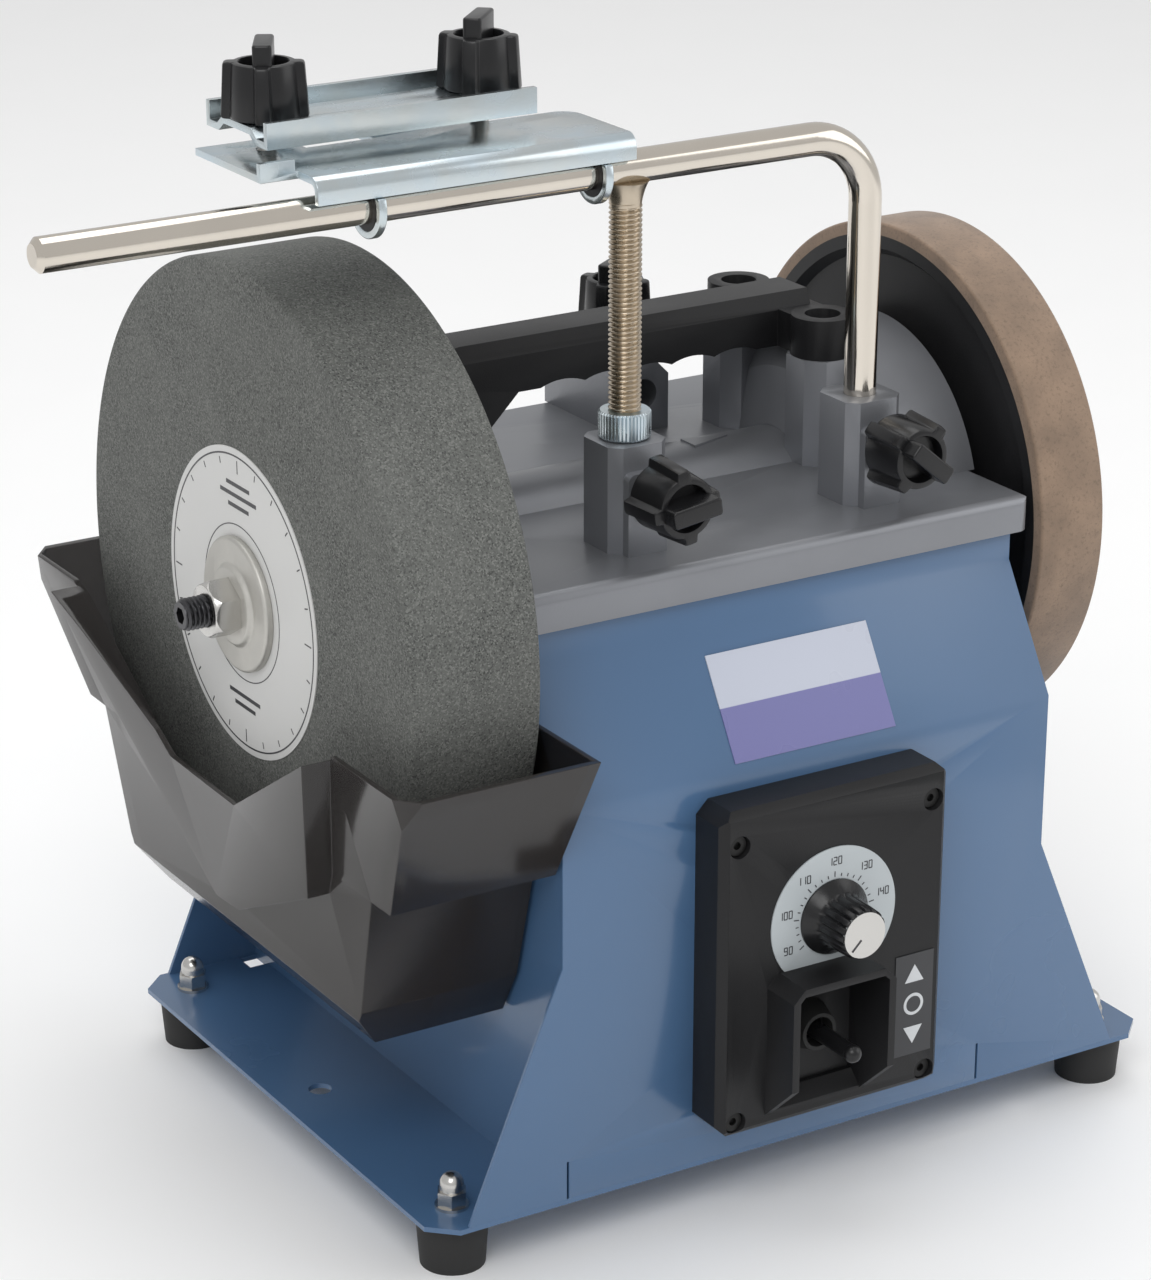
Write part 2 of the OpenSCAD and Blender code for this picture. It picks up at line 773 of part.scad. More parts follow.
module carry_handle() {
    top = post_top + grip_t;
    w = grip_w / 2;
    color(black) placed() difference() {
        union() {
            intersection() {
                along_y(handle_back - w, grip_w) handle_side();
                along_x(post_x - handle_len - 12, handle_len + 26)
                    polygon([[handle_back - w, deck], [handle_back + w, deck], [handle_back + w, top - 6],
                        [handle_back + w - 3, top], [handle_back - w + 3, top], [handle_back - w, top - 6]]);
            }
            for (y = [post_y0, post_y1]) translate([post_x, y, post_top]) cylinder(h = lug_h, d = lug_d);
            box(post_x - 9, post_x + 9, post_y0, post_y1, post_top, post_top + lug_h - 1);
        }
        for (y = [post_y0, post_y1]) translate([post_x, y, post_top]) {
            translate([0, 0, 5]) cylinder(h = lug_h, d = 13.5);
            translate([0, 0, -1]) cylinder(h = 8, d = 6.4);
        }
        translate([post_x - handle_len, handle_back, deck + 11]) cylinder(h = 8, d = 4.6);
        about_shaft() dome_profile(-0.4);
    }
}

module handle_screws() {
    color(steel) placed() {
        for (y = [post_y0, post_y1]) translate([post_x, y, post_top]) difference() {
            union() {
                translate([0, 0, 5]) cylinder(h = 6, d = 10);
                translate([0, 0, -16]) cylinder(h = 21, d = 5);
            }
            translate([0, 0, 8]) cylinder(h = 4, d = 5 / cos(30), $fn = 6);
        }
        translate([post_x - handle_len, handle_back, deck - 0.5]) cylinder(h = 19, d = 4.6);
    }
}

// box outline with cut corners and a bevel round the front face
module box_solid(inset, y_front) {
    w = box_w - 2 * inset;
    h = box_h - 2 * inset;
    depth = -panel_y - y_front;
    b = max(0.5, 3 - inset);
    intersection() {
        along_y(y_front, depth) translate([box_x0 + inset, box_low + inset]) cut_rect(w, h, 5, 5);
        translate([0, 0, box_low]) linear_extrude(height = box_h) polygon([
            [box_x0 + inset, y_front + b], [box_x0 + inset + b, y_front], [box_x1 - inset - b, y_front],
            [box_x1 - inset, y_front + b], [box_x1 - inset, -panel_y], [box_x0 + inset, -panel_y]]);
        along_x(box_x0, box_w) polygon([[y_front + b, box_low + inset], [y_front, box_low + inset + b],
            [y_front, box_z1 - inset - b], [y_front + b, box_z1 - inset], [-panel_y, box_z1 - inset],
            [-panel_y, box_low + inset]]);
    }
}

module guard_outline(inset) {
    c = 5 - inset;
    w = guard_w - 2 * inset;
    h = guard_h - inset;
    translate([guard_x0 + inset, guard_z0])
        polygon([[0, 0], [w, 0], [w, h - c], [w - c, h], [c, h], [0, h - c]]);
}

module control_box() {
    color(black) placed() difference() {
        union() {
            difference() {
                box_solid(0, face_y);
                box_solid(box_wall, face_y + box_wall);
            }
            intersection() {
                box_screw_spots() rod_y(0, face_y + 0.5, 0, box_depth - 0.5, 10.5);
                box_solid(0.2, face_y + 0.2);
            }
            along_y(guard_y, guard_depth + 1) guard_outline(0);
            along_y(face_y, recess_depth + box_wall) translate([guard_x0 - 0.2, guard_z0 - 3])
                square([guard_w + 0.4, guard_h + 3]);
        }
        along_y(guard_y - 1, guard_depth + recess_depth + 1) difference() {
            guard_outline(guard_wall);
            translate([guard_x0, guard_z0 - 1]) square([guard_w, 7]);
        }
        along_x(guard_x0 - 1, guard_w + 2) polygon([[guard_y - 1, guard_z0 - 1], [guard_y - 1, guard_z0 + 16],
            [guard_y, guard_z0 + 16], [face_y, guard_z0], [face_y, guard_z0 - 1]]);
        along_x(guard_x0 + guard_wall, guard_w - 2 * guard_wall) polygon([[guard_y - 1, guard_z0 - 1],
            [guard_y - 1, guard_z0 + 8], [recess_y, guard_z0 + 8], [face_y, guard_z0 + 1],
            [face_y, guard_z0 - 1]]);
        box_screw_spots() {
            rod_y(0, face_y - 1, 0, 6, 8.6);
            rod_y(0, face_y, 0, box_depth + 1, 4.4);
        }
        rod_y(dial_x, face_y - 1, dial_z, 6, 7.4);
        rod_y(switch_x, recess_y - 1, switch_z, box_wall + 3, 12.4);
    }
}

module box_screws() {
    color(steel) placed() box_screw_spots() difference() {
        union() {
            rod_y(0, face_y + 2, 0, 3, 7.6);
            rod_y(0, face_y + 5, 0, box_depth - 5 + sheet_t + 3, 3.6);
        }
        rod_y(0, face_y + 1, 0, 2.6, 3);
    }
}

module dial_plate() {
    color([0.75, 0.78, 0.8]) placed() along_y(face_y - 0.5, 0.5) difference() {
        translate([dial_x, dial_z]) circle(d = dial_d, $fn = 128);
        translate([dial_x, dial_z]) circle(d = 22);
        translate([dial_x - dial_d, guard_z1 - dial_d]) square([2 * dial_d, dial_d]);
    }
}

module speed_pot() {
    color(steel) placed() difference() {
        union() {
            rod_y(dial_x, face_y + box_wall, dial_z, 8, 24);
            rod_y(dial_x, face_y + 0.6, dial_z, box_wall, 7.2);
        }
        rod_y(dial_x, face_y - 1, dial_z, 9, 6.1);
    }
}

module control_board() {
    y = face_y + 8;
    z = box_z1 - 30;
    color([0.1, 0.35, 0.2]) placed() {
        box(box_x - 36, box_x + 36, y, y + 1.6, z, z + 24);
        for (x = [-30, 30]) rod_y(box_x + x, face_y + box_wall, z + 12, 8 - box_wall, 6);
        for (x = [-22, -6, 12]) rod_y(box_x + x, y + 1.6, z + 12, 6, 11);
    }
}

module switch_body() {
    color([0.2, 0.2, 0.22]) placed() difference() {
        union() {
            box(switch_x - 11, switch_x + 11, recess_y + box_wall, recess_y + box_wall + 22, switch_z - 8,
                switch_z + 8);
            rod_y(switch_x, recess_y - 3, switch_z, 6, 12);
        }
        rod_y(switch_x, recess_y - 4, switch_z, 10, 9.6);
    }
}

module boot_ring() {
    color(black) placed() difference() {
        translate([switch_x, recess_y, switch_z]) rotate([90, 0, 0]) cylinder(h = 9, d1 = 20, d2 = 14.5);
        rod_y(switch_x, recess_y - 3.2, switch_z, 4, 12);
        rod_y(switch_x, recess_y - 10, switch_z, 12, 11.6);
    }
}

module toggle_lever() {
    color(black) placed() {
        translate([switch_x, recess_y + 1, switch_z]) rotate([90, 0, 0])
            cylinder(h = recess_y - lever_y - 1, d1 = 6.8, d2 = 6);
        translate([switch_x, lever_y + 2, switch_z]) sphere(d = 6.8, $fn = 48);
    }
}

module symbol_label() {
    x = box_x1 - 4.8 - symbol_w;
    color([0.12, 0.12, 0.13]) placed()
        box(x, x + symbol_w, face_y - 0.3, face_y, box_low + 14, box_low + 14 + symbol_h);
}

module speed_knob() {
    color(black) placed() {
        translate([dial_x, face_y - 0.8, dial_z]) rotate([90, 0, 0]) difference() {
            union() {
                cylinder(h = 2, d = skirt_d);
                translate([0, 0, 2]) cylinder(h = 4, d1 = skirt_d, d2 = grip_d + 2);
                linear_extrude(height = speed_len - 0.5) difference() {
                    circle(d = grip_d, $fn = 96);
                    for (a = [0:18:342]) rotate(a) translate([grip_d / 2 + 0.5, 0]) circle(d = 2.2, $fn = 16);
                }
            }
            translate([0, 0, speed_len - 1.3]) cylinder(h = 2, d = grip_d - 3);
        }
        rod_y(dial_x, face_y - 2, dial_z, 9, 6);
    }
}

module knob_cap() {
    color(bright) placed() rod_y(dial_x, face_y - speed_len - 0.8, dial_z, 1.3, grip_d - 3);
}

module front_label() {
    mid_y = -(panel_y + top_y) / 2;
    mid_z = (bend_high + bend_low) / 2;
    color([0.85, 0.85, 0.92]) placed() translate([box_x + 2.7, mid_y, mid_z]) rotate([slope_angle, 0, 0])
        translate([-badge_w / 2, -badge_h / 2 - badge_down, 0]) cube([badge_w, badge_h, badge_t]);
}

module capacitor() {
    color([0.3, 0.3, 0.32]) placed() {
        rod_x(30, -70, base_top + 17, 60, 30);
        for (x = [38, 76]) difference() {
            box(x, x + 8, -88, -52, base_top, base_top + 16);
            rod_x(x - 1, -70, base_top + 17, 10, 30);
        }
    }
}

module inlet_grommet() {
    color(rubber) placed() difference() {
        union() {
            rod_y(half_len - 25, panel_y - sheet_t, 48, sheet_t, 14);
            rod_y(half_len - 25, panel_y, 48, 2, 19);
            rod_y(half_len - 25, panel_y - sheet_t - 2, 48, 2, 19);
        }
        rod_y(half_len - 25, panel_y - 6, 48, 10, 8);
    }
}

module shaft_bushes() {
    color([0.75, 0.6, 0.35]) placed() for (x = [bush_x0, bush_x1]) difference() {
        on_shaft(x, bush_len, bush_d);
        on_shaft(x - 1, bush_len + 2, shaft_d + 2 * run_gap);
    }
}

module main_shaft() {
    color(steel) placed() difference() {
        union() {
            on_shaft(shaft_x0 + 1, shaft_x1 - shaft_x0 - 2, shaft_d);
            on_shaft(shaft_x0, shaft_x1 - shaft_x0, shaft_d - 2);
        }
        translate([shaft_x0 - 1, 0, shaft_height]) rotate([0, 90, 0])
            cylinder(h = 7, d = 5 / cos(30), $fn = 6);
    }
}

module stone_wheel() {
    r = stone_d / 2;
    b = stone_bore / 2;
    color([0.42, 0.45, 0.42]) placed() about_shaft()
        polygon([[b, stone_out], [r - 1.5, stone_out], [r, stone_out + 1.5], [r, stone_in - 1.5],
            [r - 1.5, stone_in], [b, stone_in]]);
}

module paper_disc() {
    color([0.8, 0.8, 0.8]) placed() difference() {
        on_shaft(stone_out - paper_t, paper_t, paper_d);
        on_shaft(stone_out - 1, 2, stone_bore);
    }
}

module wheel_flanges() {
    r = flange_d / 2;
    b = shaft_d / 2 + 0.05;
    x = stone_out - paper_t;
    color(bright) placed() {
        about_shaft() polygon([[b, stone_in], [r, stone_in], [r, stone_in + inner_flange_t],
            [b, stone_in + inner_flange_t]]);
        about_shaft() polygon([[b, nut_in], [r * 0.56, nut_in], [r * 0.62, nut_in + 1.8],
            [r - 1, nut_in + 1.8], [r, nut_in + 2.6], [r, x], [b, x]]);
    }
}

module wheel_nut() {
    color(bright) placed() intersection() {
        difference() {
            translate([nut_in - nut_h, 0, shaft_height]) rotate([0, 90, 0])
                cylinder(h = nut_h, d = nut_af / cos(30), $fn = 6);
            on_shaft(nut_in - nut_h - 1, nut_h + 2, shaft_d + 0.1);
        }
        translate([nut_in - nut_h - 3, 0, shaft_height]) rotate([0, 90, 0])
            cylinder(h = nut_h + 3, d1 = nut_af - 4, d2 = nut_af + 12);
    }
}

module shaft_spacers() {
    gaps = [[stone_in + inner_flange_t, bush_x0 - 0.3], [bush_x1 + bush_len + 0.3, drive_x0],
        [drive_x1, honing_in + 2]];
    color(steel) placed() for (g = gaps) difference() {
        on_shaft(g[0], g[1] - g[0], spacer_d);
        on_shaft(g[0] - 1, g[1] - g[0] + 2, shaft_d + 0.1);
    }
}

module drive_wheel() {
    r = drive_d / 2 - drive_rubber_t;
    b = shaft_d / 2 + 0.05;
    mid = (drive_x0 + drive_x1) / 2;
    color(black) placed() about_shaft()
        polygon([[b, drive_x0], [16, drive_x0], [16, mid - 3], [r - 5, mid - 3], [r - 5, drive_x0],
            [r, drive_x0], [r, drive_x1], [r - 5, drive_x1], [r - 5, mid + 3], [16, mid + 3],
            [16, drive_x1], [b, drive_x1]]);
}

module drive_ring() {
    color(rubber) placed() difference() {
        on_shaft(drive_x0, drive_w, drive_d, $fn = 128);
        on_shaft(drive_x0 - 1, drive_w + 2, drive_d - 2 * drive_rubber_t, $fn = 128);
    }
}

module honing_core() {
    r = honing_d / 2 - leather_t;
    h = hub_d / 2;
    b = shaft_d / 2 + 0.05;
    web = honing_in + 3.5;
    color(black) placed() about_shaft()
        polygon([[b, honing_in + 2], [h, honing_in + 2], [h + 6, web], [r - 8, web], [r - 5, honing_in],
            [r, honing_in], [r, honing_out], [r - core_wall, honing_out], [r - core_wall, web + core_wall],
            [h, web + core_wall], [h, hub_out], [b, hub_out]]);
}

module leather_ring() {
    r = honing_d / 2;
    color([0.62, 0.46, 0.34]) placed() about_shaft()
        polygon([[r - leather_t, honing_in], [r - 0.8, honing_in], [r, honing_in + 0.8],
            [r, honing_out - 0.8], [r - 0.8, honing_out], [r - leather_t, honing_out]]);
}

module finger_nut() {
    color(black) placed() difference() {
        union() {
            on_shaft(hub_out, finger_nut_h - 3, finger_nut_d - 8);
            for (a = [0:60:300]) translate([hub_out, 0, shaft_height]) rotate([a, 0, 0])
                translate([0, finger_nut_d / 2 - 5, 0]) rotate([0, 90, 0])
                    cylinder(h = finger_nut_h - 3, d = 10);
        }
        on_shaft(hub_out - 1, finger_nut_h + 2, shaft_d + 0.1);
    }
}

module motor_can() {
    color([0.25, 0.26, 0.28]) placed() difference() {
        rod_x(motor_x0, motor_back, motor_z, motor_len - 6, motor_d);
        rod_x(motor_x0 - 1, motor_back, motor_z, motor_len, motor_d - 6);
    }
}

module motor_caps() {
    color(cast_grey) placed() difference() {
        union() {
            for (x = [motor_x0 - 8, motor_x1 - 6]) rod_x(x, motor_back, motor_z, 8, motor_d + 2);
            for (x = [motor_x0, motor_x1 - 12]) rod_x(x, motor_back, motor_z, 6, motor_d - 6);
        }
        for (x = [motor_x0 + 4, motor_x1 - 13]) rod_x(x, motor_back, motor_z, 3, 30);
        rod_x(motor_x0 - 20, motor_back, motor_z, motor_len + 40, motor_shaft_d + 2 * run_gap);
        for (s = [-1, 1]) rod_x(motor_x1 - 7, motor_back + s * 30, motor_z, 12, 5);
    }
}

module motor_bracket() {
    color(steel) placed() difference() {
        union() {
            box(bracket_x, bracket_x + 3, motor_back - 46, motor_back + 46, base_top, motor_z + 40);
            box(bracket_x - 26, bracket_x, motor_back - 46, motor_back + 46, base_top, base_top + 3);
        }
        rod_x(bracket_x - 1, motor_back, motor_z, 5, 22);
        for (s = [-1, 1]) rod_x(bracket_x - 1, motor_back + s * 30, motor_z, 5, 5.4);
        for (s = [-1, 1]) translate([bracket_x - 14, motor_back + s * 36, base_top - 1])
            cylinder(h = 6, d = 6.4);
    }
}

module bracket_bolts() {
    color(bright) placed() {
        for (s = [-1, 1]) translate([bracket_x - 14, motor_back + s * 36, base_top]) {
            translate([0, 0, 3]) cylinder(h = 4, d = 10 / cos(30), $fn = 6);
            cylinder(h = 3, d = 6);
        }
        for (s = [-1, 1]) {
            rod_x(bracket_x + 3, motor_back + s * 30, motor_z, 3, 8.5);
            rod_x(motor_x1 - 6, motor_back + s * 30, motor_z, bracket_x + 3 - motor_x1 + 6, 5);
        }
    }
}

module rotor() {
    fan_x = motor_x0 - 20;
    color(steel) placed() {
        rod_x(fan_x, motor_back, motor_z, drive_x1 + 1 - fan_x, motor_shaft_d);
        rod_x(motor_x0 + 10, motor_back, motor_z, motor_len - 26, motor_d - 24);
        rod_x(fan_x + 2, motor_back, motor_z, 2.5, motor_d - 16);
        for (a = [0:45:315]) translate([0, motor_back, motor_z]) rotate([a, 0, 0])
            box(fan_x + 4.5, fan_x + 10, -1, 1, 12, motor_d / 2 - 8);
    }
}

module drive_roller() {
    color(bright) placed() difference() {
        rod_x(drive_x0 - 1, motor_back, motor_z, drive_w + 2, roller_d);
        rod_x(drive_x0 - 2, motor_back, motor_z, drive_w + 4, motor_shaft_d);
    }
}

module support_bar() {
    color(bright) placed() {
        rod_x(bar_x0 + 2, bar_y, bar_z, leg_x1 - bar_bend - bar_x0 - 2, bar_d);
        translate([bar_x0, bar_y, bar_z]) rotate([0, 90, 0]) cylinder(h = 2, d1 = bar_d - 4, d2 = bar_d);
        translate([leg_x1 - bar_bend, bar_y, bar_z - bar_bend]) rotate([90, 0, 0])
            rotate_extrude(angle = 90, $fn = 96) translate([bar_bend, 0]) circle(d = bar_d, $fn = 64);
        translate([leg_x1, bar_y, deck - leg_below])
            cylinder(h = bar_z - bar_bend - deck + leg_below, d = bar_d);
    }
}

module threaded_leg() {
    color(steel) placed() difference() {
        union() {
            translate([leg_x0, bar_y, deck - leg_below])
                cylinder(h = bar_z - deck + leg_below, d = bar_d - 0.2);
            translate([leg_x0, bar_y, bar_z - bar_r - 6]) cylinder(h = 9, d1 = bar_d, d2 = bar_d + 5);
        }
        rod_x(leg_x0 - 20, bar_y, bar_z, 40, bar_d);
        box(leg_x0 - 20, leg_x0 + 20, bar_y - 20, bar_y + 20, bar_z, bar_z + 20);
    }
}

module height_nut() {
    color(zinc) placed() translate([leg_x0, bar_y, sleeve_top + 0.3]) difference() {
        linear_extrude(height = height_nut_h) difference() {
            circle(d = height_nut_d, $fn = 96);
            for (a = [0:12:348]) rotate(a) translate([height_nut_d / 2 + 0.35, 0]) circle(d = 1.6, $fn = 13);
        }
        translate([0, 0, -1]) cylinder(h = height_nut_h + 2, d = bar_d - 0.2 + 2 * run_gap);
    }
}

// four-lobed knob with a cross bar, standing on Z = 0, its screw reaching down
module lobed_knob(reach) {
    difference() {
        union() {
            cylinder(h = knob_h - 2, d1 = knob_d - 6, d2 = knob_d - 8);
            for (a = [0:90:270]) rotate(a) translate([knob_d / 2 - 5.5, 0, 0])
                cylinder(h = knob_h, d1 = 11, d2 = 9);
        }
        translate([0, 0, knob_h - 5]) cylinder(h = 6, d = knob_d - 14);
    }
    translate([-knob_d / 2 + 5, -3.5, knob_h - 6]) cube([knob_d - 10, 7, knob_bar_h + 6]);
    translate([0, 0, -reach]) cylinder(h = reach + 1, d = screw_d);
}

module front_knob(x, out, turn) {
    reach = out - pad_y + bar_y - bar_r - tip_gap;
    color(black) placed() translate([x, pad_y - out, clamp_z]) rotate([90, 0, 0]) rotate(turn)
        lobed_knob(reach);
}

module rear_knob(x) {
    reach = rear_screw_out + level_wall_up - bar_r - leg_gap - tip_gap;
    color(black) placed() translate([x, level_knob_y, level_z + level_wall_up + rear_screw_out]) rotate(35)
        lobed_knob(reach);
}

module front_knob_left() {
    front_knob(leg_x0, screw_out, 8);
}

module front_knob_right() {
    front_knob(leg_x1, screw_out - 2, -40);
}

module rear_knob_left() {
    rear_knob(level_x0);
}

module rear_knob_right() {
    rear_knob(level_x1);
}

module jig_liners() {
    color(black) placed() for (x = [hook_x0, hook_x1]) difference() {
        rod_x(x - hook_w / 2, bar_y, bar_z, hook_w, 2 * liner_r);
        rod_x(x - hook_w, bar_y, bar_z, 2 * hook_w, bar_d + 2 * run_gap);
    }
}

// lower plate with its turned-down front edge, (Y, Z)
module jig_section() {
    r = roll_r;
    translate([jig_y0 + r, jig_z]) square([jig_depth - r, jig_t]);
    intersection() {
        difference() {
            translate([jig_y0 + r, jig_top - r]) circle(r = r, $fn = 64);
            translate([jig_y0 + r, jig_top - r]) circle(r = r - jig_t, $fn = 64);
        }
        translate([jig_y0, jig_top - r]) square([r + 0.01, r]);
    }
    translate([jig_y0, jig_top - roll_h]) square([jig_t, roll_h - r]);
}

module jig_plate() {
    color(zinc) placed() difference() {
        union() {
            along_x(jig_x0, jig_len) jig_section();
            box(jig_x0 - 14, jig_x0 + 1, jig_y0 + 14, jig_y0 + jig_depth, jig_z, jig_top);
            box(jig_x0 - 14, jig_x0 - 1, jig_y0 + 14, jig_y0 + 14 + jig_t, jig_z, jig_top + 4);
        }
        for (x = [hook_x0, hook_x1]) rod_x(x - hook_w / 2 - 0.3, bar_y, bar_z, hook_w + 0.6, 2 * hook_r);
        box(jig_x1 - 34, jig_x1 + 1, jig_y0 + 44, jig_y0 + jig_depth + 1, jig_z - 1, jig_top + 1);
        translate([jig_x1 - 8, jig_y0 + 36, jig_z - 1]) difference() {
            cube([9, 9, jig_t + 2]);
            cylinder(h = jig_t + 2, r = 8);
        }
        for (x = [0, stud_span]) translate([stud_x0 + x, stud_y, jig_z - 1])
            cylinder(h = jig_t + 2, d = stud_d);
        box(jig_x0 + 18, jig_x0 + 44, stud_y - 6, stud_y + 6, jig_z - 1, jig_top + 1);
    }
}

module jig_hooks() {
    color(zinc) placed() for (x = [hook_x0, hook_x1]) difference() {
        union() {
            rod_x(x - hook_w / 2, bar_y, bar_z, hook_w, 2 * (hook_r + hook_wall));
            box(x - hook_w / 2, x + hook_w / 2, bar_y, bar_y + hook_r + hook_wall, bar_z, jig_z);
        }
        rod_x(x - hook_w, bar_y, bar_z, 2 * hook_w, 2 * hook_r);
        box(x - hook_w, x + hook_w, jig_y0 - 3, bar_y - 3, jig_top - roll_h - 0.2, jig_top + 3);
    }
}

module jig_studs() {
    color(steel) placed() for (x = [0, stud_span]) translate([stud_x0 + x, stud_y, jig_z]) {
        translate([0, 0, -3]) cylinder(h = 3, d = 12);
        cylinder(h = jig_t + jig_gap + jig_t + 13, d = stud_d);
    }
}

module jig_clamp() {
    z = clamp_low;
    y1 = clamp_y0 + clamp_depth;
    color(zinc) placed() difference() {
        along_x(clamp_x0, clamp_len) polygon([[clamp_y0, z], [clamp_y0 + 9, z], [clamp_y0 + 13, z + 3],
            [y1 - 13, z + 3], [y1 - 9, z], [y1, z], [y1, z + clamp_flange], [y1 - jig_t, z + clamp_flange],
            [y1 - jig_t, z + jig_t], [y1 - 8, z + jig_t], [y1 - 12, z + 3 + jig_t],
            [clamp_y0 + 12, z + 3 + jig_t], [clamp_y0 + 8, z + jig_t], [clamp_y0 + jig_t, z + jig_t],
            [clamp_y0 + jig_t, z + clamp_flange], [clamp_y0, z + clamp_flange]]);
        for (x = [0, stud_span]) translate([stud_x0 + x, stud_y, z - 1]) cylinder(h = 9, d = stud_d + 1);
    }
}

module jig_knob(x, turn) {
    color(black) placed() translate([x, stud_y, clamp_low + 3 + jig_t + 0.3]) difference() {
        rotate(turn) lobed_knob(0);
        translate([0, 0, -1]) cylinder(h = 16.5, d = stud_d + 2 * run_gap);
    }
}

module jig_knob_left() {
    jig_knob(stud_x0, 60);
}

module jig_knob_right() {
    jig_knob(stud_x0 + stud_span, 46);
}

// main basin below the rim: sloped ends and side, cut corners
module tank_main(w, band) {
    z0 = tank_low + w;
    y_low = min(rim_y - 67, panel_y - 24) - w;
    y_knee = min(rim_y - 57, panel_y - 14) - w;
    y_step = step_y - w;
    x_low = stone_out + 5 + w;
    intersection() {
        along_x(rim_x - 20, tank_x1 - w - rim_x + 20) union() {
            polygon([[-y_low, z0], [y_low, z0], [y_knee, tank_low + 18], [y_step, step_height],
                [y_step + 6, rim_z + band], [-y_step - 6, rim_z + band], [-y_step, step_height],
                [-y_knee, tank_low + 18]]);
            polygon([[-(rim_y - 30 - w), step_height + w], [rim_y - 30 - w, step_height + w],
                [rim_y - w, rim_z + band], [w - rim_y, rim_z + band]]);
        }
        along_y(-rim_y - 1, 2 * rim_y + 2) polygon([[tank_x1, tank_low - 1], [tank_x1, rim_z + band],
            [rim_x + w, rim_z + band], [stone_out - 8 + w, step_height], [stone_out - 5.6 + w, tank_low + 14],
            [x_low, z0 - 0.01], [x_low, tank_low - 1]]);
        translate([rim_x - 1, -rim_y, tank_low - 1]) linear_extrude(height = rim_z - tank_low + 3)
            polygon([[8, w], [tank_x1 - rim_x + 1, w], [tank_x1 - rim_x + 1, 2 * rim_y - w],
                [8, 2 * rim_y - w], [w * 0.4, 2 * rim_y - 10], [w * 0.4, 10]]);
    }
}

// side bulge that the nut passes over, (Y, Z) outline times an (X, Z) outline
module tank_bulge(w, band) {
    mid = shaft_height - stone_d / 2;
    intersection() {
        along_x(rim_x - 20, 46) polygon([[-99 + w, rim_z + band], [-76 + w, mid + 42 + w * 0.6],
            [-7, mid + 9 + w], [12, mid + 8 + w], [108 - w, rim_z + band]]);
        along_y(-rim_y, 2 * rim_y) polygon([[stone_out - 2, tank_low + w], [stone_out - 2, rim_z + band],
            [rim_x - bulge_out + w, rim_z + band], [stone_out - 8 + w, tank_low + 17]]);
    }
}

module tank_hooks() {
    for (s = [-1, 1]) {
        box(tank_x1 - 1, -half_len + sheet_t + 4, s * hook_y - 7, s * hook_y + 7, tongue_z, tongue_z + 4);
        box(-half_len + sheet_t + 1, -half_len + sheet_t + 4, s * hook_y - 7, s * hook_y + 7,
            tongue_z - tank_lift + 0.8, tongue_z + 4);
    }
}

module water_trough() {
    mid = shaft_height - stone_d / 2;
    color([0.35, 0.33, 0.32, 0.75]) placed() {
        difference() {
            union() {
                tank_main(0, 0);
                tank_bulge(0, 0);
            }
            tank_main(tank_wall, 1);
            tank_bulge(tank_wall, 1);
            along_x(rim_x - 30, stone_out - 1.5 - rim_x + 30) polygon([[-99, rim_z + 2], [-99, rim_z - 1],
                [-28, mid + 61], [23, mid + 62], [32, mid + 70], [82, rim_z - 11], [108, rim_z - 1],
                [108, rim_z + 2]]);
        }
        tank_hooks();
    }
}

base_plate();
front_panel();
rear_panel();
left_wall();
right_wall();
rubber_feet();
foot_bolts();
acorn_nuts();
top_cover();
shaft_ridge();
cover_posts();
carry_handle();
handle_screws();
control_box();
box_screws();
dial_plate();
speed_pot();
control_board();
switch_body();
boot_ring();
symbol_label();
front_label();
capacitor();
inlet_grommet();
shaft_bushes();
motor_can();
motor_caps();
motor_bracket();
bracket_bolts();
speed_knob();
knob_cap();
toggle_lever();
main_shaft();
stone_wheel();
paper_disc();
wheel_flanges();
wheel_nut();
shaft_spacers();
drive_wheel();
drive_ring();
honing_core();
leather_ring();
finger_nut();
rotor();
drive_roller();
support_bar();
threaded_leg();
height_nut();
front_knob_left();
front_knob_right();
rear_knob_left();
rear_knob_right();
jig_liners();
jig_plate();
jig_hooks();
jig_studs();
jig_clamp();
jig_knob_left();
jig_knob_right();
water_trough();
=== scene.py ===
"""Looks of a wet stone and honing machine, built round its loaded frame.

The frame is in metres: +X runs along the shaft to the leather wheel, -Y is the control side, +Z is up.
"""

import json
import math

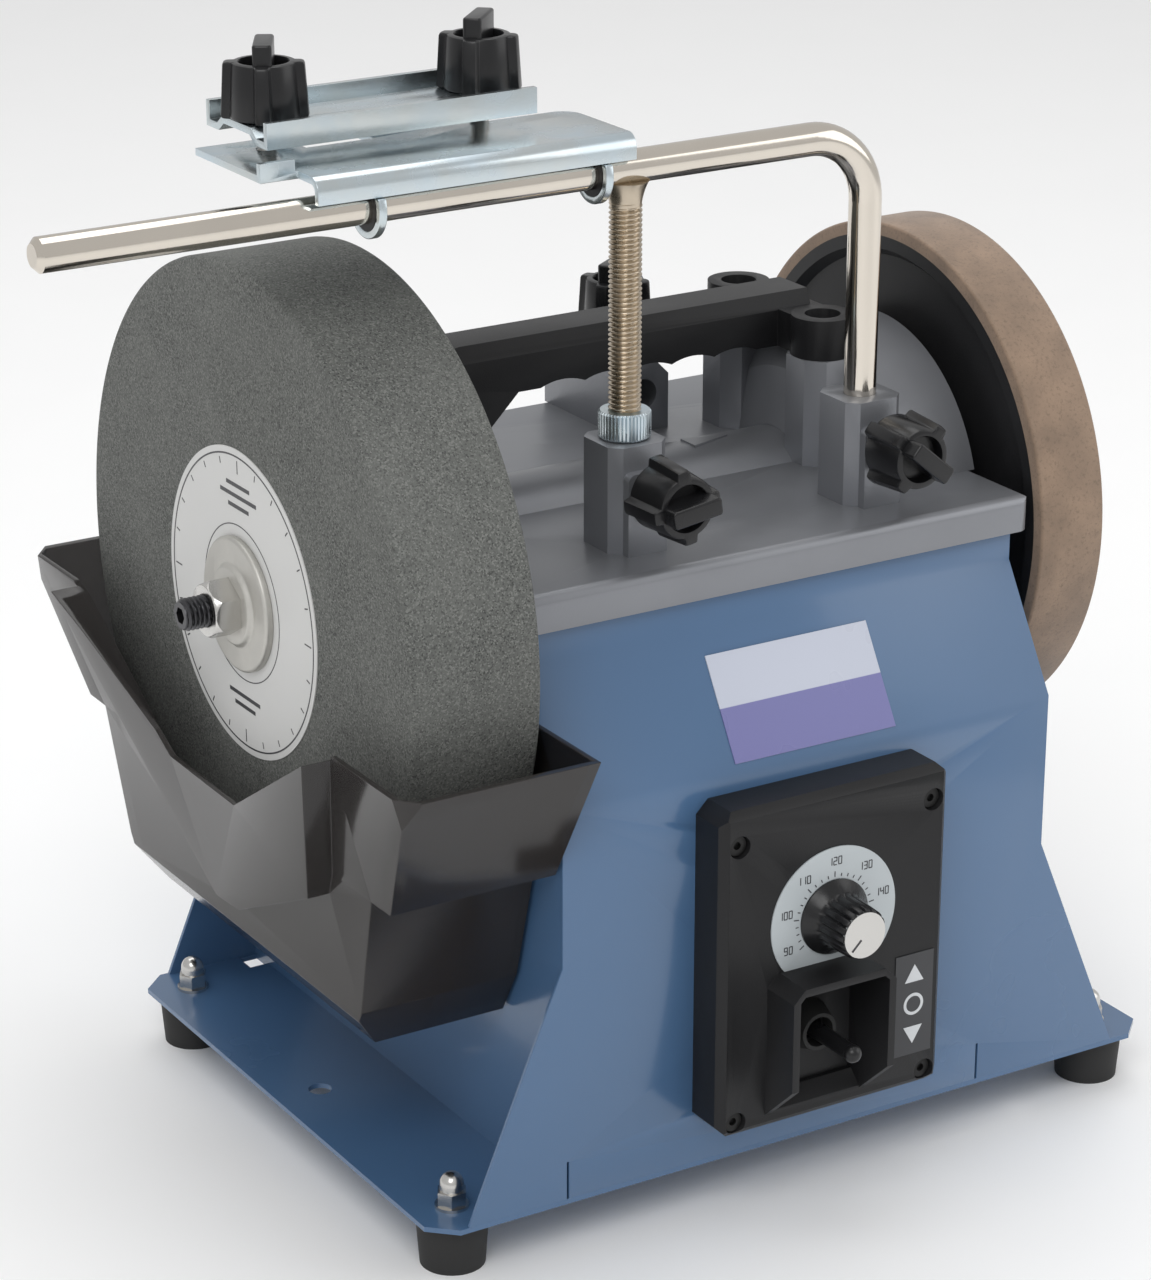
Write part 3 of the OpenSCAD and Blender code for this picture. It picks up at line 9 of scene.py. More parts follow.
import bmesh
import bpy
import numpy as np
from bpy.props import FloatProperty, FloatVectorProperty, IntProperty, PointerProperty
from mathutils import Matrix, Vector

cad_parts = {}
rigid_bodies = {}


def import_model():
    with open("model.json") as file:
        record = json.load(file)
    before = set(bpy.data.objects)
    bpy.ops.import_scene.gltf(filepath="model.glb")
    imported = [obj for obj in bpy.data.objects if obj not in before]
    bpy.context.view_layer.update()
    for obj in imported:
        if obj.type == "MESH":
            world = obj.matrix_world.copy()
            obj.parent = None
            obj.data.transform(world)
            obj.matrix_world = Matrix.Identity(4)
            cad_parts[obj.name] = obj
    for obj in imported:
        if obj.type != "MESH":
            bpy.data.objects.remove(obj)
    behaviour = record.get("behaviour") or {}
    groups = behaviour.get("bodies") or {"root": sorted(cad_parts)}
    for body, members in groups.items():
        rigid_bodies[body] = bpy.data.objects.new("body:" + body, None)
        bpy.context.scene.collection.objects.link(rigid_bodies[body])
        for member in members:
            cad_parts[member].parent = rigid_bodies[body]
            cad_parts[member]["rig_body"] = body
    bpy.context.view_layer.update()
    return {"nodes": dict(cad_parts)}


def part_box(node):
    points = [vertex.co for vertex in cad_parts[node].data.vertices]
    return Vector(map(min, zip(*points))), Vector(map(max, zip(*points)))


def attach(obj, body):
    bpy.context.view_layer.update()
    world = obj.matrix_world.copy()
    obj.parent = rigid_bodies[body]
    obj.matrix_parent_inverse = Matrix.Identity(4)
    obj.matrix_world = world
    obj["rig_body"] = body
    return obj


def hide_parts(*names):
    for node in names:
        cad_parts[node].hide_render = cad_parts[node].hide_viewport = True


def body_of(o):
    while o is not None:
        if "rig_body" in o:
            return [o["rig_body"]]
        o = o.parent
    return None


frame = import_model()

bl_info = {
    "name": "Wet Grinder Looks",
    "version": (1, 0, 0),
    "blender": (4, 5, 0),
    "location": "View3D > Sidebar > Grinder",
    "description": "Finishes and fine pieces for a wet stone and honing machine",
    "category": "Object",
}

MM = 0.001
TAU = 2 * math.pi
X_AXIS = (1, 0, 0)
Z_AXIS = (0, 0, 1)
PRINT = 0.08 * MM       # how far a printed mark stands off its plate


# ---------------------------------------------------------------- settings

def length(label, what, mm):
    """A size, given in millimetres."""
    return FloatProperty(name=label, description=what, default=mm * MM, unit="LENGTH", precision=4)


def colour(label, what, rgb):
    """A colour, as linear red, green and blue."""
    return FloatVectorProperty(name=label, description=what, default=rgb, size=3, min=0, max=1,
                               subtype="COLOR")


class KnobSettings(bpy.types.PropertyGroup):
    """The ribbed clamp knobs"""
    height: length("Height", "Height of the ribbed body", 19)
    outer: length("Outer radius", "Radius over the ribs at the foot", 15)
    inner: length("Inner radius", "Radius between the ribs at the foot", 12.4)
    taper: length("Taper", "How much the radius shrinks to the top", 1.2)
    bar_length: length("Bar length", "Length of the cross bar", 20)
    bar_width: length("Bar width", "Width of the cross bar", 6.6)
    bar_height: length("Bar height", "Height of the cross bar over the body", 7)
    ribs: IntProperty(name="Ribs", description="Ribs round the knob", default=4, min=3, max=8)


class ThreadSettings(bpy.types.PropertyGroup):
    """The coarse thread on the height leg and the shaft end"""
    pitch: length("Pitch", "Thread pitch of the height leg and the shaft end", 1.75)
    depth: length("Depth", "Depth of the thread grooves", 0.95)


class StoneSettings(bpy.types.PropertyGroup):
    """The stone and the leather band"""
    edge: length("Edge", "Rounding of the stone's rims", 1.6)
    base: colour("Stone", "Main colour of the stone", (0.098, 0.102, 0.096))
    fleck: colour("Fleck", "Colour of the pale grains", (0.185, 0.190, 0.178))
    leather: colour("Leather", "Colour of the leather band", (0.205, 0.142, 0.098))


class BodySettings(bpy.types.PropertyGroup):
    """The housing, the cover and the trough"""
    paint: colour("Paint", "Colour of the sheet housing", (0.066, 0.138, 0.262))
    casting: colour("Casting", "Colour of the cover", (0.225, 0.232, 0.250))
    moulding: colour("Moulding", "Colour of the black mouldings", (0.009, 0.009, 0.010))
    smoke: colour("Smoke", "Tint of the trough", (0.026, 0.023, 0.022))
    sheet_edge: length("Sheet edge", "Rounding of the sheet edges", 0.35)
    cast_edge: length("Cast edge", "Rounding and fillets of the casting", 1.6)


class StageSettings(bpy.types.PropertyGroup):
    """The floor, the lens and the lights"""
    floor: colour("Floor", "Colour of the floor", (0.97, 0.97, 0.97))
    lens: FloatProperty(name="Lens", description="Focal length in millimetres", default=107.39, min=20,
                        max=300, unit="CAMERA")
    key: FloatProperty(name="Key light", description="Power of the main soft light", default=22, min=0,
                       unit="POWER")
    room: FloatProperty(name="Room light", description="Strength of the even light", default=0.64, min=0)


# ---------------------------------------------------------------- surfaces

def grid_faces(rows, cols, wrap_cols=True):
    """Quads between each pair of neighbouring rings of a rows by cols grid of points."""
    i, j = np.meshgrid(np.arange(rows - 1), np.arange(cols if wrap_cols else cols - 1), indexing="ij")
    k = (j + 1) % cols
    return np.stack([i * cols + j, i * cols + k, (i + 1) * cols + k, (i + 1) * cols + j], -1).reshape(-1, 4)


def volume(points, faces):
    """Signed volume: a third of the sum of each face centre dotted with its area vector."""
    total = 0.0
    for f in faces:
        p = points[list(f)]
        area = np.cross(p - p[0], np.roll(p, -1, 0) - p[0]).sum(0) / 2
        total += p.mean(0) @ area / 3
    return total


def loft(rings, start="flat", end="flat"):
    """A skin through rings of shape (rows, cols, 3), with a flat face or nothing at each end."""
    rings = np.asarray(rings, float)
    rows, cols = rings.shape[:2]
    faces = [tuple(f) for f in grid_faces(rows, cols)]
    if start == "flat":
        faces.append(tuple(range(cols - 1, -1, -1)))
    if end == "flat":
        faces.append(tuple(range((rows - 1) * cols, rows * cols)))
    return rings.reshape(-1, 3), faces


def join(*parts):
    """Several (points, faces) skins as one."""
    points, faces, base = [], [], 0
    for p, f in parts:
        points.append(p)
        faces += [tuple(i + base for i in q) for q in f]
        base += len(p)
    return np.concatenate(points), faces


def outward(part):
    """The same skin with its faces turned to give a positive volume."""
    points, faces = part
    return (points, faces) if volume(points, faces) > 0 else (points, [tuple(reversed(f)) for f in faces])


def lathe(profile, cols=128):
    """Turns (radius, height) pairs round local Z: x = r cos a, y = r sin a, z = h."""
    prof = np.asarray(profile, float)
    a = np.linspace(0, TAU, cols, endpoint=False)
    r, h = prof[:, :1], prof[:, 1:]
    return np.stack([r * np.cos(a), r * np.sin(a), h + 0 * a], -1)


def arc(cx, cy, r, a0, a1, n):
    """Points on a circle of radius r from angle a0 to a1, in degrees."""
    a = np.radians(np.linspace(a0, a1, n))
    return np.stack([cx + r * np.cos(a), cy + r * np.sin(a)], -1)


def round_outline(w, d, r, n=6):
    """A rectangle centred on the origin with four quarter-circle corners."""
    x, y = w / 2 - r, d / 2 - r
    return np.concatenate([arc(x, y, r, 0, 90, n), arc(-x, y, r, 90, 180, n),
                           arc(-x, -y, r, 180, 270, n), arc(x, -y, r, 270, 360, n)])


def rim_profile(inner, outer, width, edge):
    """(radius, height) points of a thick ring: quarter circles of radius `edge` at its two outer rims."""
    return np.concatenate([[(inner, 0)], arc(outer - edge, edge, edge, -90, 0, 5),
                           arc(outer - edge, width - edge, edge, 0, 90, 5), [(inner, width), (inner, 0)]])


def pillow_block(w, d, h, corner, edge, n=6):
    """A block whose upright corners and top edge are quarter circles, standing on z = 0."""
    a = np.radians(np.linspace(0, 90, 6))
    insets = np.concatenate([[0.0], edge * (1 - np.cos(a))])
    heights = np.concatenate([[0.0], h - edge + edge * np.sin(a)])
    rings = [np.column_stack([round_outline(w - 2 * i, d - 2 * i, max(corner - i, 0.05 * MM), n),
                              np.full(4 * n, z)]) for i, z in zip(insets, heights)]
    return loft(rings)


def stand(points, origin, up, turn=0.0):
    """Local points turned by `turn` degrees about Z, with Z laid along `up`, then moved to origin."""
    up = np.asarray(up, float)
    side = np.array([1.0, 0, 0]) if abs(up[0]) < 0.9 else np.array([0, 1.0, 0])
    other = np.cross(up, side)
    c, s = math.cos(math.radians(turn)), math.sin(math.radians(turn))
    x = side * c + other * s
    y = other * c - side * s
    return np.asarray(origin) + points[..., :1] * x + points[..., 1:2] * y + points[..., 2:3] * up


def centre(node):
    """Middle of a frame node's box."""
    lo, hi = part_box(node)
    return (lo + hi) / 2


def piece(name, part, body, finish, replaces=(), sharp=35, fix=True):
    """Makes a mesh object from a skin, gives it a finish and lets it ride on a body."""
    points, faces = outward(part) if fix else part
    mesh = bpy.data.meshes.new(name)
    mesh.from_pydata(np.asarray(points).tolist(), [], faces)
    mesh.validate()
    mesh.shade_smooth()
    mesh.set_sharp_from_angle(angle=math.radians(sharp))
    mesh.materials.append(finish)
    obj = bpy.data.objects.new(name, mesh)
    bpy.context.scene.collection.objects.link(obj)
    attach(obj, body)
    if replaces:
        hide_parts(*replaces)
    return obj


def eased(node, width, finish, segments=2, angle=32):
    """A merged copy of a frame node whose hard edges are rounded by a bevel."""
    source = frame["nodes"][node]
    bm = bmesh.new()
    bm.from_mesh(source.data)
    bmesh.ops.remove_doubles(bm, verts=bm.verts, dist=2e-6)
    bmesh.ops.dissolve_limit(bm, angle_limit=math.radians(0.4), verts=bm.verts, edges=bm.edges)
    mesh = bpy.data.meshes.new(node + ".soft")
    bm.to_mesh(mesh)
    bm.free()
    mesh.shade_smooth()
    mesh.materials.clear()
    mesh.materials.append(finish)
    obj = bpy.data.objects.new(node + ".soft", mesh)
    bpy.context.scene.collection.objects.link(obj)
    bevel = obj.modifiers.new("edges", "BEVEL")
    bevel.width = width
    bevel.segments = segments
    bevel.limit_method = "ANGLE"
    bevel.angle_limit = math.radians(angle)
    bevel.harden_normals = True
    bevel.use_clamp_overlap = True
    bevel.miter_outer = "MITER_ARC"
    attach(obj, body_of(source)[0])
    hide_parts(node)
    return obj


# ---------------------------------------------------------------- finishes

def new_group(name, ins, outs):
    """An empty node group with its sockets."""
    tree = bpy.data.node_groups.new(name, "ShaderNodeTree")
    for label, kind, value in ins:
        socket = tree.interface.new_socket(name=label, in_out="INPUT", socket_type=kind)
        socket.default_value = value
    for label, kind in outs:
        tree.interface.new_socket(name=label, in_out="OUTPUT", socket_type=kind)
    return tree, tree.nodes.new("NodeGroupInput"), tree.nodes.new("NodeGroupOutput")


def noise(tree, scale, detail, rough, vector):
    """A noise texture; its scale is a number or a socket."""
    node = tree.nodes.new("ShaderNodeTexNoise")
    node.inputs["Detail"].default_value = detail
    node.inputs["Roughness"].default_value = rough
    if isinstance(scale, (int, float)):
        node.inputs["Scale"].default_value = scale
    else:
        tree.links.new(scale, node.inputs["Scale"])
    tree.links.new(vector, node.inputs["Vector"])
    return node


def ramp(tree, source, low, high, low_to=0.0, high_to=1.0):
    """Maps low..high of a value onto low_to..high_to, held at the ends."""
    node = tree.nodes.new("ShaderNodeMapRange")
    node.inputs["From Min"].default_value = low
    node.inputs["From Max"].default_value = high
    node.inputs["To Min"].default_value = low_to
    node.inputs["To Max"].default_value = high_to
    tree.links.new(source, node.inputs["Value"])
    return node.outputs["Result"]


def calc(tree, operation, a, b):
    """One sum on two numbers or sockets."""
    node = tree.nodes.new("ShaderNodeMath")
    node.operation = operation
    for k, v in enumerate((a, b)):
        if isinstance(v, (int, float)):
            node.inputs[k].default_value = v
        else:
            tree.links.new(v, node.inputs[k])
    return node.outputs[0]


def blend_colour(tree, factor, a, b):
    """Colour a where the factor is 0, b where it is 1."""
    node = tree.nodes.new("ShaderNodeMix")
    node.data_type = "RGBA"
    for k, v in ((0, factor), (6, a), (7, b)):
        if isinstance(v, (tuple, list)):
            node.inputs[k].default_value = (*v[:3], 1)
        elif isinstance(v, (int, float)):
            node.inputs[k].default_value = v
        else:
            tree.links.new(v, node.inputs[k])
    return node.outputs[2]


def build_variation():
    """Slow drift between two colours, uneven roughness and a fine bumpy grain, for any finish."""
    tree, gin, gout = new_group("Surface variation", [
        ("Colour", "NodeSocketColor", (0.5, 0.5, 0.5, 1)),
        ("Worn colour", "NodeSocketColor", (0.6, 0.6, 0.6, 1)),
        ("Drift", "NodeSocketFloat", 0.3), ("Drift scale", "NodeSocketFloat", 14.0),
        ("Roughness", "NodeSocketFloat", 0.4), ("Spread", "NodeSocketFloat", 0.1),
        ("Grain scale", "NodeSocketFloat", 900.0), ("Grain", "NodeSocketFloat", 0.1)],
        [("Colour", "NodeSocketColor"), ("Roughness", "NodeSocketFloat"), ("Normal", "NodeSocketVector")])
    where = tree.nodes.new("ShaderNodeTexCoord").outputs["Object"]
    slow = noise(tree, gin.outputs["Drift scale"], 4.0, 0.55, where)
    mask = calc(tree, "MULTIPLY", ramp(tree, slow.outputs["Fac"], 0.35, 0.7), gin.outputs["Drift"])
    tint = blend_colour(tree, mask, gin.outputs["Colour"], gin.outputs["Worn colour"])
    tree.links.new(tint, gout.inputs["Colour"])
    uneven = ramp(tree, slow.outputs["Fac"], 0.3, 0.75, -1.0, 1.0)
    uneven = calc(tree, "MULTIPLY", uneven, gin.outputs["Spread"])
    tree.links.new(calc(tree, "ADD", gin.outputs["Roughness"], uneven), gout.inputs["Roughness"])
    fine = noise(tree, gin.outputs["Grain scale"], 2.0, 0.6, where)
    bump = tree.nodes.new("ShaderNodeBump")
    bump.inputs["Distance"].default_value = 0.0002
    tree.links.new(gin.outputs["Grain"], bump.inputs["Strength"])
    tree.links.new(fine.outputs["Fac"], bump.inputs["Height"])
    tree.links.new(bump.outputs["Normal"], gout.inputs["Normal"])
    return tree


def build_speckle():
    """Packed mineral grains: pale and dark cells over a base colour, with a gritty height."""
    tree, gin, gout = new_group("Mineral speckle", [
        ("Base", "NodeSocketColor", (0.1, 0.1, 0.1, 1)), ("Pale", "NodeSocketColor", (0.3, 0.3, 0.3, 1)),
        ("Dark", "NodeSocketColor", (0.03, 0.03, 0.03, 1)), ("Scale", "NodeSocketFloat", 1500.0)],
        [("Colour", "NodeSocketColor"), ("Height", "NodeSocketFloat")])
    where = tree.nodes.new("ShaderNodeTexCoord").outputs["Object"]
    cells = tree.nodes.new("ShaderNodeTexVoronoi")
    tree.links.new(where, cells.inputs["Vector"])
    tree.links.new(gin.outputs["Scale"], cells.inputs["Scale"])
    grey = tree.nodes.new("ShaderNodeSeparateColor")
    tree.links.new(cells.outputs["Color"], grey.inputs["Color"])
    some = ramp(tree, grey.outputs["Red"], 0.55, 0.95)
    pale = blend_colour(tree, some, gin.outputs["Base"], gin.outputs["Pale"])
    few = ramp(tree, grey.outputs["Green"], 0.7, 0.95)
    dark = blend_colour(tree, few, pale, gin.outputs["Dark"])
    cloud = ramp(tree, noise(tree, 26.0, 5.0, 0.6, where).outputs["Fac"], 0.3, 0.75, 0.0, 0.35)
    tree.links.new(blend_colour(tree, cloud, dark, gin.outputs["Pale"]), gout.inputs["Colour"])
    tree.links.new(grey.outputs["Blue"], gout.inputs["Height"])
    return tree


GROUPS = {}
FINISH = {}


def finish(name, rgb, worn=None, rough=0.4, metal=0.0, drift=0.3, drift_scale=14.0, spread=0.06,
           grain_scale=900.0, grain=0.1, **plain):
    """A Principled material fed by the surface variation group. `plain` sets fixed sockets."""
    mat = bpy.data.materials.new(name)
    mat.use_nodes = True
    tree = mat.node_tree
    shader = tree.nodes["Principled BSDF"]
    group = tree.nodes.new("ShaderNodeGroup")
    group.node_tree = GROUPS["variation"]
    worn = worn or tuple(min(1, c * 1.25 + 0.01) for c in rgb)
    for label, value in (("Colour", (*rgb[:3], 1)), ("Worn colour", (*worn[:3], 1)), ("Drift", drift),
                         ("Drift scale", drift_scale), ("Roughness", rough), ("Spread", spread),
                         ("Grain scale", grain_scale), ("Grain", grain)):
        group.inputs[label].default_value = value
    tree.links.new(group.outputs["Colour"], shader.inputs["Base Color"])
    tree.links.new(group.outputs["Roughness"], shader.inputs["Roughness"])
    tree.links.new(group.outputs["Normal"], shader.inputs["Normal"])
    shader.inputs["Metallic"].default_value = metal
    for label, value in plain.items():
        shader.inputs[label.replace("_", " ")].default_value = value
    FINISH[name] = mat
    return mat


def stone_finish(cfg):
    """Bonded grit: speckle colour, dull, with a gritty bump."""
    mat = finish("Grit stone", tuple(cfg.base), rough=0.85, drift=0.2)
    tree = mat.node_tree
    shader = tree.nodes["Principled BSDF"]
    group = tree.nodes.new("ShaderNodeGroup")
    group.node_tree = GROUPS["speckle"]
    group.inputs["Base"].default_value = (*cfg.base, 1)
    group.inputs["Pale"].default_value = (*cfg.fleck, 1)
    group.inputs["Dark"].default_value = (0.036, 0.038, 0.036, 1)
    group.inputs["Scale"].default_value = 1900.0
    bump = tree.nodes.new("ShaderNodeBump")
    bump.inputs["Distance"].default_value = 0.0003
    bump.inputs["Strength"].default_value = 0.4
    tree.links.new(group.outputs["Height"], bump.inputs["Height"])
    tree.links.new(group.outputs["Colour"], shader.inputs["Base Color"])
    tree.links.new(bump.outputs["Normal"], shader.inputs["Normal"])
    return mat


def label_finish():
    """Front label: a pale band over a lilac band, parted a little over half way up the label."""
    pale, lilac = (0.50, 0.53, 0.62), (0.165, 0.165, 0.37)
    mat = finish("Label bands", pale, rough=0.3, drift=0.1, grain=0.02)
    tree = mat.node_tree
    shader = tree.nodes["Principled BSDF"]
    lo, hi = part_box("front_label")
    apart = tree.nodes.new("ShaderNodeSeparateXYZ")
    tree.links.new(tree.nodes.new("ShaderNodeTexCoord").outputs["Object"], apart.inputs["Vector"])
    mid = lo.z + 0.51 * (hi.z - lo.z)
    mask = ramp(tree, apart.outputs["Z"], mid - 0.0001, mid + 0.0001)
    mixed = blend_colour(tree, mask, lilac, pale)
    tree.links.new(mixed, shader.inputs["Base Color"])
    return mat


def leather_finish(cfg):
    """Suede side out: blotchy tan with dark nap marks and fine fibres."""
    rgb = tuple(cfg.leather)
    mat = finish("Tan leather", rgb, rough=0.8, drift=0.9, drift_scale=60.0, grain_scale=2600.0, grain=0.5,
                 worn=tuple(c * 1.5 for c in rgb), Sheen_Weight=0.25, Sheen_Roughness=0.5)
    tree = mat.node_tree
    shader = tree.nodes["Principled BSDF"]
    where = tree.nodes.new("ShaderNodeTexCoord").outputs["Object"]
    fibres = noise(tree, 700.0, 6.0, 0.7, where)
    old = shader.inputs["Base Color"].links[0].from_socket
    mixed = blend_colour(tree, ramp(tree, fibres.outputs["Fac"], 0.52, 0.7, 0.0, 0.55), old,
                         tuple(c * 0.45 for c in rgb))
    tree.links.new(mixed, shader.inputs["Base Color"])
    return mat


def make_finishes(cfg, stone):
    """Every finish, by its maker's name."""
    GROUPS["variation"] = build_variation()
    GROUPS["speckle"] = build_speckle()
    finish("Blue enamel", tuple(cfg.paint), rough=0.26, drift=0.12, drift_scale=9.0, spread=0.03,
           grain_scale=420.0, grain=0.05, Coat_Weight=0.5, Coat_Roughness=0.12)
    finish("Cast cover paint", tuple(cfg.casting), rough=0.38, metal=0.55, drift=0.35, drift_scale=20.0,
           spread=0.05, grain_scale=1500.0, grain=0.22)
    finish("Black moulding", tuple(cfg.moulding), rough=0.46, drift=0.3, grain_scale=1900.0, grain=0.3,
           Specular_IOR_Level=0.32)
    finish("Gloss black knob", (0.008, 0.008, 0.009), rough=0.28, drift=0.2, grain_scale=600.0, grain=0.06,
           Specular_IOR_Level=0.4)
    finish("Black screw", (0.02, 0.02, 0.02), rough=0.45, metal=0.6, drift=0.2)
    finish("Black rubber", (0.014, 0.014, 0.014), rough=0.7, drift=0.4, grain_scale=1200.0, grain=0.2)
    finish("Turned steel", (0.58, 0.57, 0.55), rough=0.26, metal=1.0, drift=0.3, grain_scale=1800.0,
           grain=0.08)
    finish("Nickel bar", (0.66, 0.61, 0.54), rough=0.12, metal=1.0, drift=0.25, drift_scale=18.0, spread=0.04,
           grain_scale=800.0, grain=0.03)
    finish("Nickel thread", (0.50, 0.43, 0.34), rough=0.3, metal=1.0, drift=0.5, drift_scale=90.0, grain=0.1)
    finish("Zinc passivate", (0.60, 0.64, 0.64), worn=(0.55, 0.66, 0.74), rough=0.27, metal=1.0, drift=0.8,
           drift_scale=38.0, spread=0.08, grain_scale=500.0, grain=0.1)
    finish("Dark steel", (0.20, 0.20, 0.21), rough=0.4, metal=1.0, drift=0.4)
    finish("Black oxide", (0.07, 0.07, 0.075), rough=0.3, metal=0.9, drift=0.3)
    finish("Flange steel", (0.50, 0.49, 0.46), rough=0.48, metal=0.85, drift=0.5, drift_scale=70.0, grain=0.3)
    finish("Sintered bronze", (0.40, 0.26, 0.12), rough=0.5, metal=1.0)
    finish("Disc paper", (0.60, 0.60, 0.59), rough=0.5, drift=0.15, grain=0.05)
    finish("Dial print", (0.46, 0.50, 0.52), rough=0.35, drift=0.15, grain=0.03)
    finish("Symbol panel", (0.035, 0.036, 0.040), rough=0.4, grain=0.05)
    finish("White print", (0.62, 0.64, 0.66), rough=0.4, drift=0.1, grain=0.02)
    finish("Dark print", (0.03, 0.03, 0.035), rough=0.4, grain=0.02)
    finish("Board laminate", (0.02, 0.12, 0.05), rough=0.4)
    mat = finish("Smoked plastic", tuple(cfg.smoke), rough=0.12, drift=0.15, grain=0.0, spread=0.02,
                 IOR=1.49, Alpha=0.86)
    mat.surface_render_method = "BLENDED"
    label_finish()
    stone_finish(stone)
    leather_finish(stone)


# ---------------------------------------------------------------- shapes of the small pieces

KNOB_WELL = 4 * MM          # depth of the round hollow in a knob's top
STUD_HOLE = 14.6 * MM       # depth of the blind hole in a jig knob, clear of its hollow


def knob_skin(cfg, foot, up, turn, bore=0.0):
    """Ribbed knob: radius = inner + (outer - inner) * bump(angle), bump a flat-topped cosine, less a taper
    with height, with rounded rims, a round hollow in the top and a cross bar standing in it; a bore, where
    given, is a round blind hole up from the foot."""
    a = np.linspace(0, TAU, 160, endpoint=False)
    bump = np.clip((np.cos(cfg.ribs * a) - 0.50) / 0.34, 0, 1)
    bump = bump * bump * (3 - 2 * bump)
    h, rim = cfg.height, 1.0 * MM
    rows = ((0.0, rim), (0.3 * rim, 0.3 * rim), (rim, 0.0), (h * 0.5, 0.0), (h - rim, 0.0),
            (h - 0.3 * rim, 0.3 * rim), (h, rim))
    rings = [np.stack([bore * np.cos(a), bore * np.sin(a), np.full_like(a, z)], -1)
             for z in (STUD_HOLE, 0.0) if bore]
    for z, inset in rows:
        r = cfg.inner + (cfg.outer - cfg.inner) * bump - cfg.taper * z / h - inset
        rings.append(np.stack([r * np.cos(a), r * np.sin(a), np.full_like(a, z)], -1))
    well = cfg.inner - 3.6 * MM
    for r, z in ((well, h), (well - 0.4 * MM, h - 0.5 * MM), (well - 0.8 * MM, h - KNOB_WELL)):
        rings.append(np.stack([r * np.cos(a), r * np.sin(a), np.full_like(a, z)], -1))
    body = loft(rings)
    bar = pillow_block(cfg.bar_length, cfg.bar_width, cfg.bar_height + KNOB_WELL, 1.4 * MM, 0.9 * MM)
    bar = (bar[0] + (0, 0, h - KNOB_WELL), bar[1])
    points, faces = join(outward(body), outward(bar))
    return stand(points, foot, up, turn), faces


class Pitch:
    """A thread's pitch and depth, given in millimetres."""

    def __init__(self, pitch, depth):
        self.pitch, self.depth = pitch * MM, depth * MM


PITCH_M6 = Pitch(1.0, 0.5)


def tooth(z, a, pitch):
    """Height of a screw thread's tooth, 0 at the root and 1 at the crest: a cut-off triangle of f, the part
    of a turn left over after z / pitch less angle / 2 pi."""
    f = np.mod(z / pitch - a / TAU, 1.0)
    return np.clip(1.35 * (1 - np.abs(2 * f - 1)) - 0.1, 0, 1)


def thread_skin(radius, low, high, foot, up, cfg, cols, steps):
    """Screw thread with plain ends: radius less depth * (1 - tooth), with `steps` rows to a turn."""
    rows = max(8, int((high - low) / cfg.pitch * steps))
    z = np.linspace(low, high, rows)[:, None]
    a = np.linspace(0, TAU, cols, endpoint=False)[None, :]
    r = radius - cfg.depth * (1 - tooth(z, a, cfg.pitch))
    rings = np.stack([r * np.cos(a), r * np.sin(a), z + 0 * a], -1)
    points, faces = loft(rings)
    return stand(points, foot, up), faces


def hex_radius(flats, angles):
    """Radius of a hexagon at each angle: half its width over the cosine of the angle off the nearest flat."""
    return flats / 2 / np.cos(np.mod(angles, TAU / 6) - TAU / 12)


def socket_shaft(radius, length_, socket, thread, cols=48):
    """Round shaft along Z from a threaded, socketed end: one skin from the socket floor, out over the rim,
    along the thread and on to the plain far end."""
    a = np.linspace(0, TAU, cols, endpoint=False)
    six = hex_radius(socket, a)
    rings = [np.stack([six * np.cos(a), six * np.sin(a), np.full_like(a, z)], -1) for z in (6 * MM, 0.0)]
    rim = radius - 1.0 * MM
    rings.append(np.stack([rim * np.cos(a), rim * np.sin(a), np.zeros_like(a)], -1))
    z = np.linspace(0.4 * MM, 19 * MM, 100)[:, None]
    run_in = np.clip(z / (1.5 * MM), 0, 1)
    r = radius - thread.depth * (1 - tooth(z, a[None], thread.pitch) * run_in)
    body = np.stack([r * np.cos(a), r * np.sin(a), z + 0 * a], -1)
    tail = [np.stack([q * np.cos(a), q * np.sin(a), np.full_like(a, h)], -1)
            for q, h in ((radius, 19.2 * MM), (radius, length_ - 1 * MM), (rim, length_))]
    return loft(np.concatenate([rings, body, tail]))


def fluted(profile, flutes, depth, sharp=1.0, cols=240):
    """Lathe whose radius is cut by depth * part * max(0, -cos(flutes * angle)) ** sharp on rows marked with a
    part above zero; profile holds (radius, height, part)."""
    prof = np.asarray(profile, float)
    a = np.linspace(0, TAU, cols, endpoint=False)
    cut = depth * np.clip(-np.cos(flutes * a), 0, 1) ** sharp
    r = prof[:, :1] - prof[:, 2:] * cut[None]
    return loft(np.stack([r * np.cos(a), r * np.sin(a), prof[:, 1:2] + 0 * r], -1))


def prism(outline, thick):
    """A flat outline of (x, y) points given a thickness along Z."""
    outline = np.asarray(outline, float)
    low = np.column_stack([outline, np.zeros(len(outline))])
    return outward(loft(np.stack([low, low + (0, 0, thick)])))


def bar(x0, y0, x1, y1, width, thick):
    """A straight stroke from one point to another."""
    d = np.array([x1 - x0, y1 - y0], float)
    n = np.array([-d[1], d[0]]) / max(np.hypot(*d), 1e-9) * width / 2
    p, q = np.array([x0, y0]), np.array([x1, y1])
    return prism([p - n, q - n, q + n, p + n], thick)


def ring(r0, r1, thick, cols=96):
    """A flat washer."""
    return outward(loft(lathe([(r0, 0), (r1, 0), (r1, thick), (r0, thick), (r0, 0)], cols), "open", "open"))


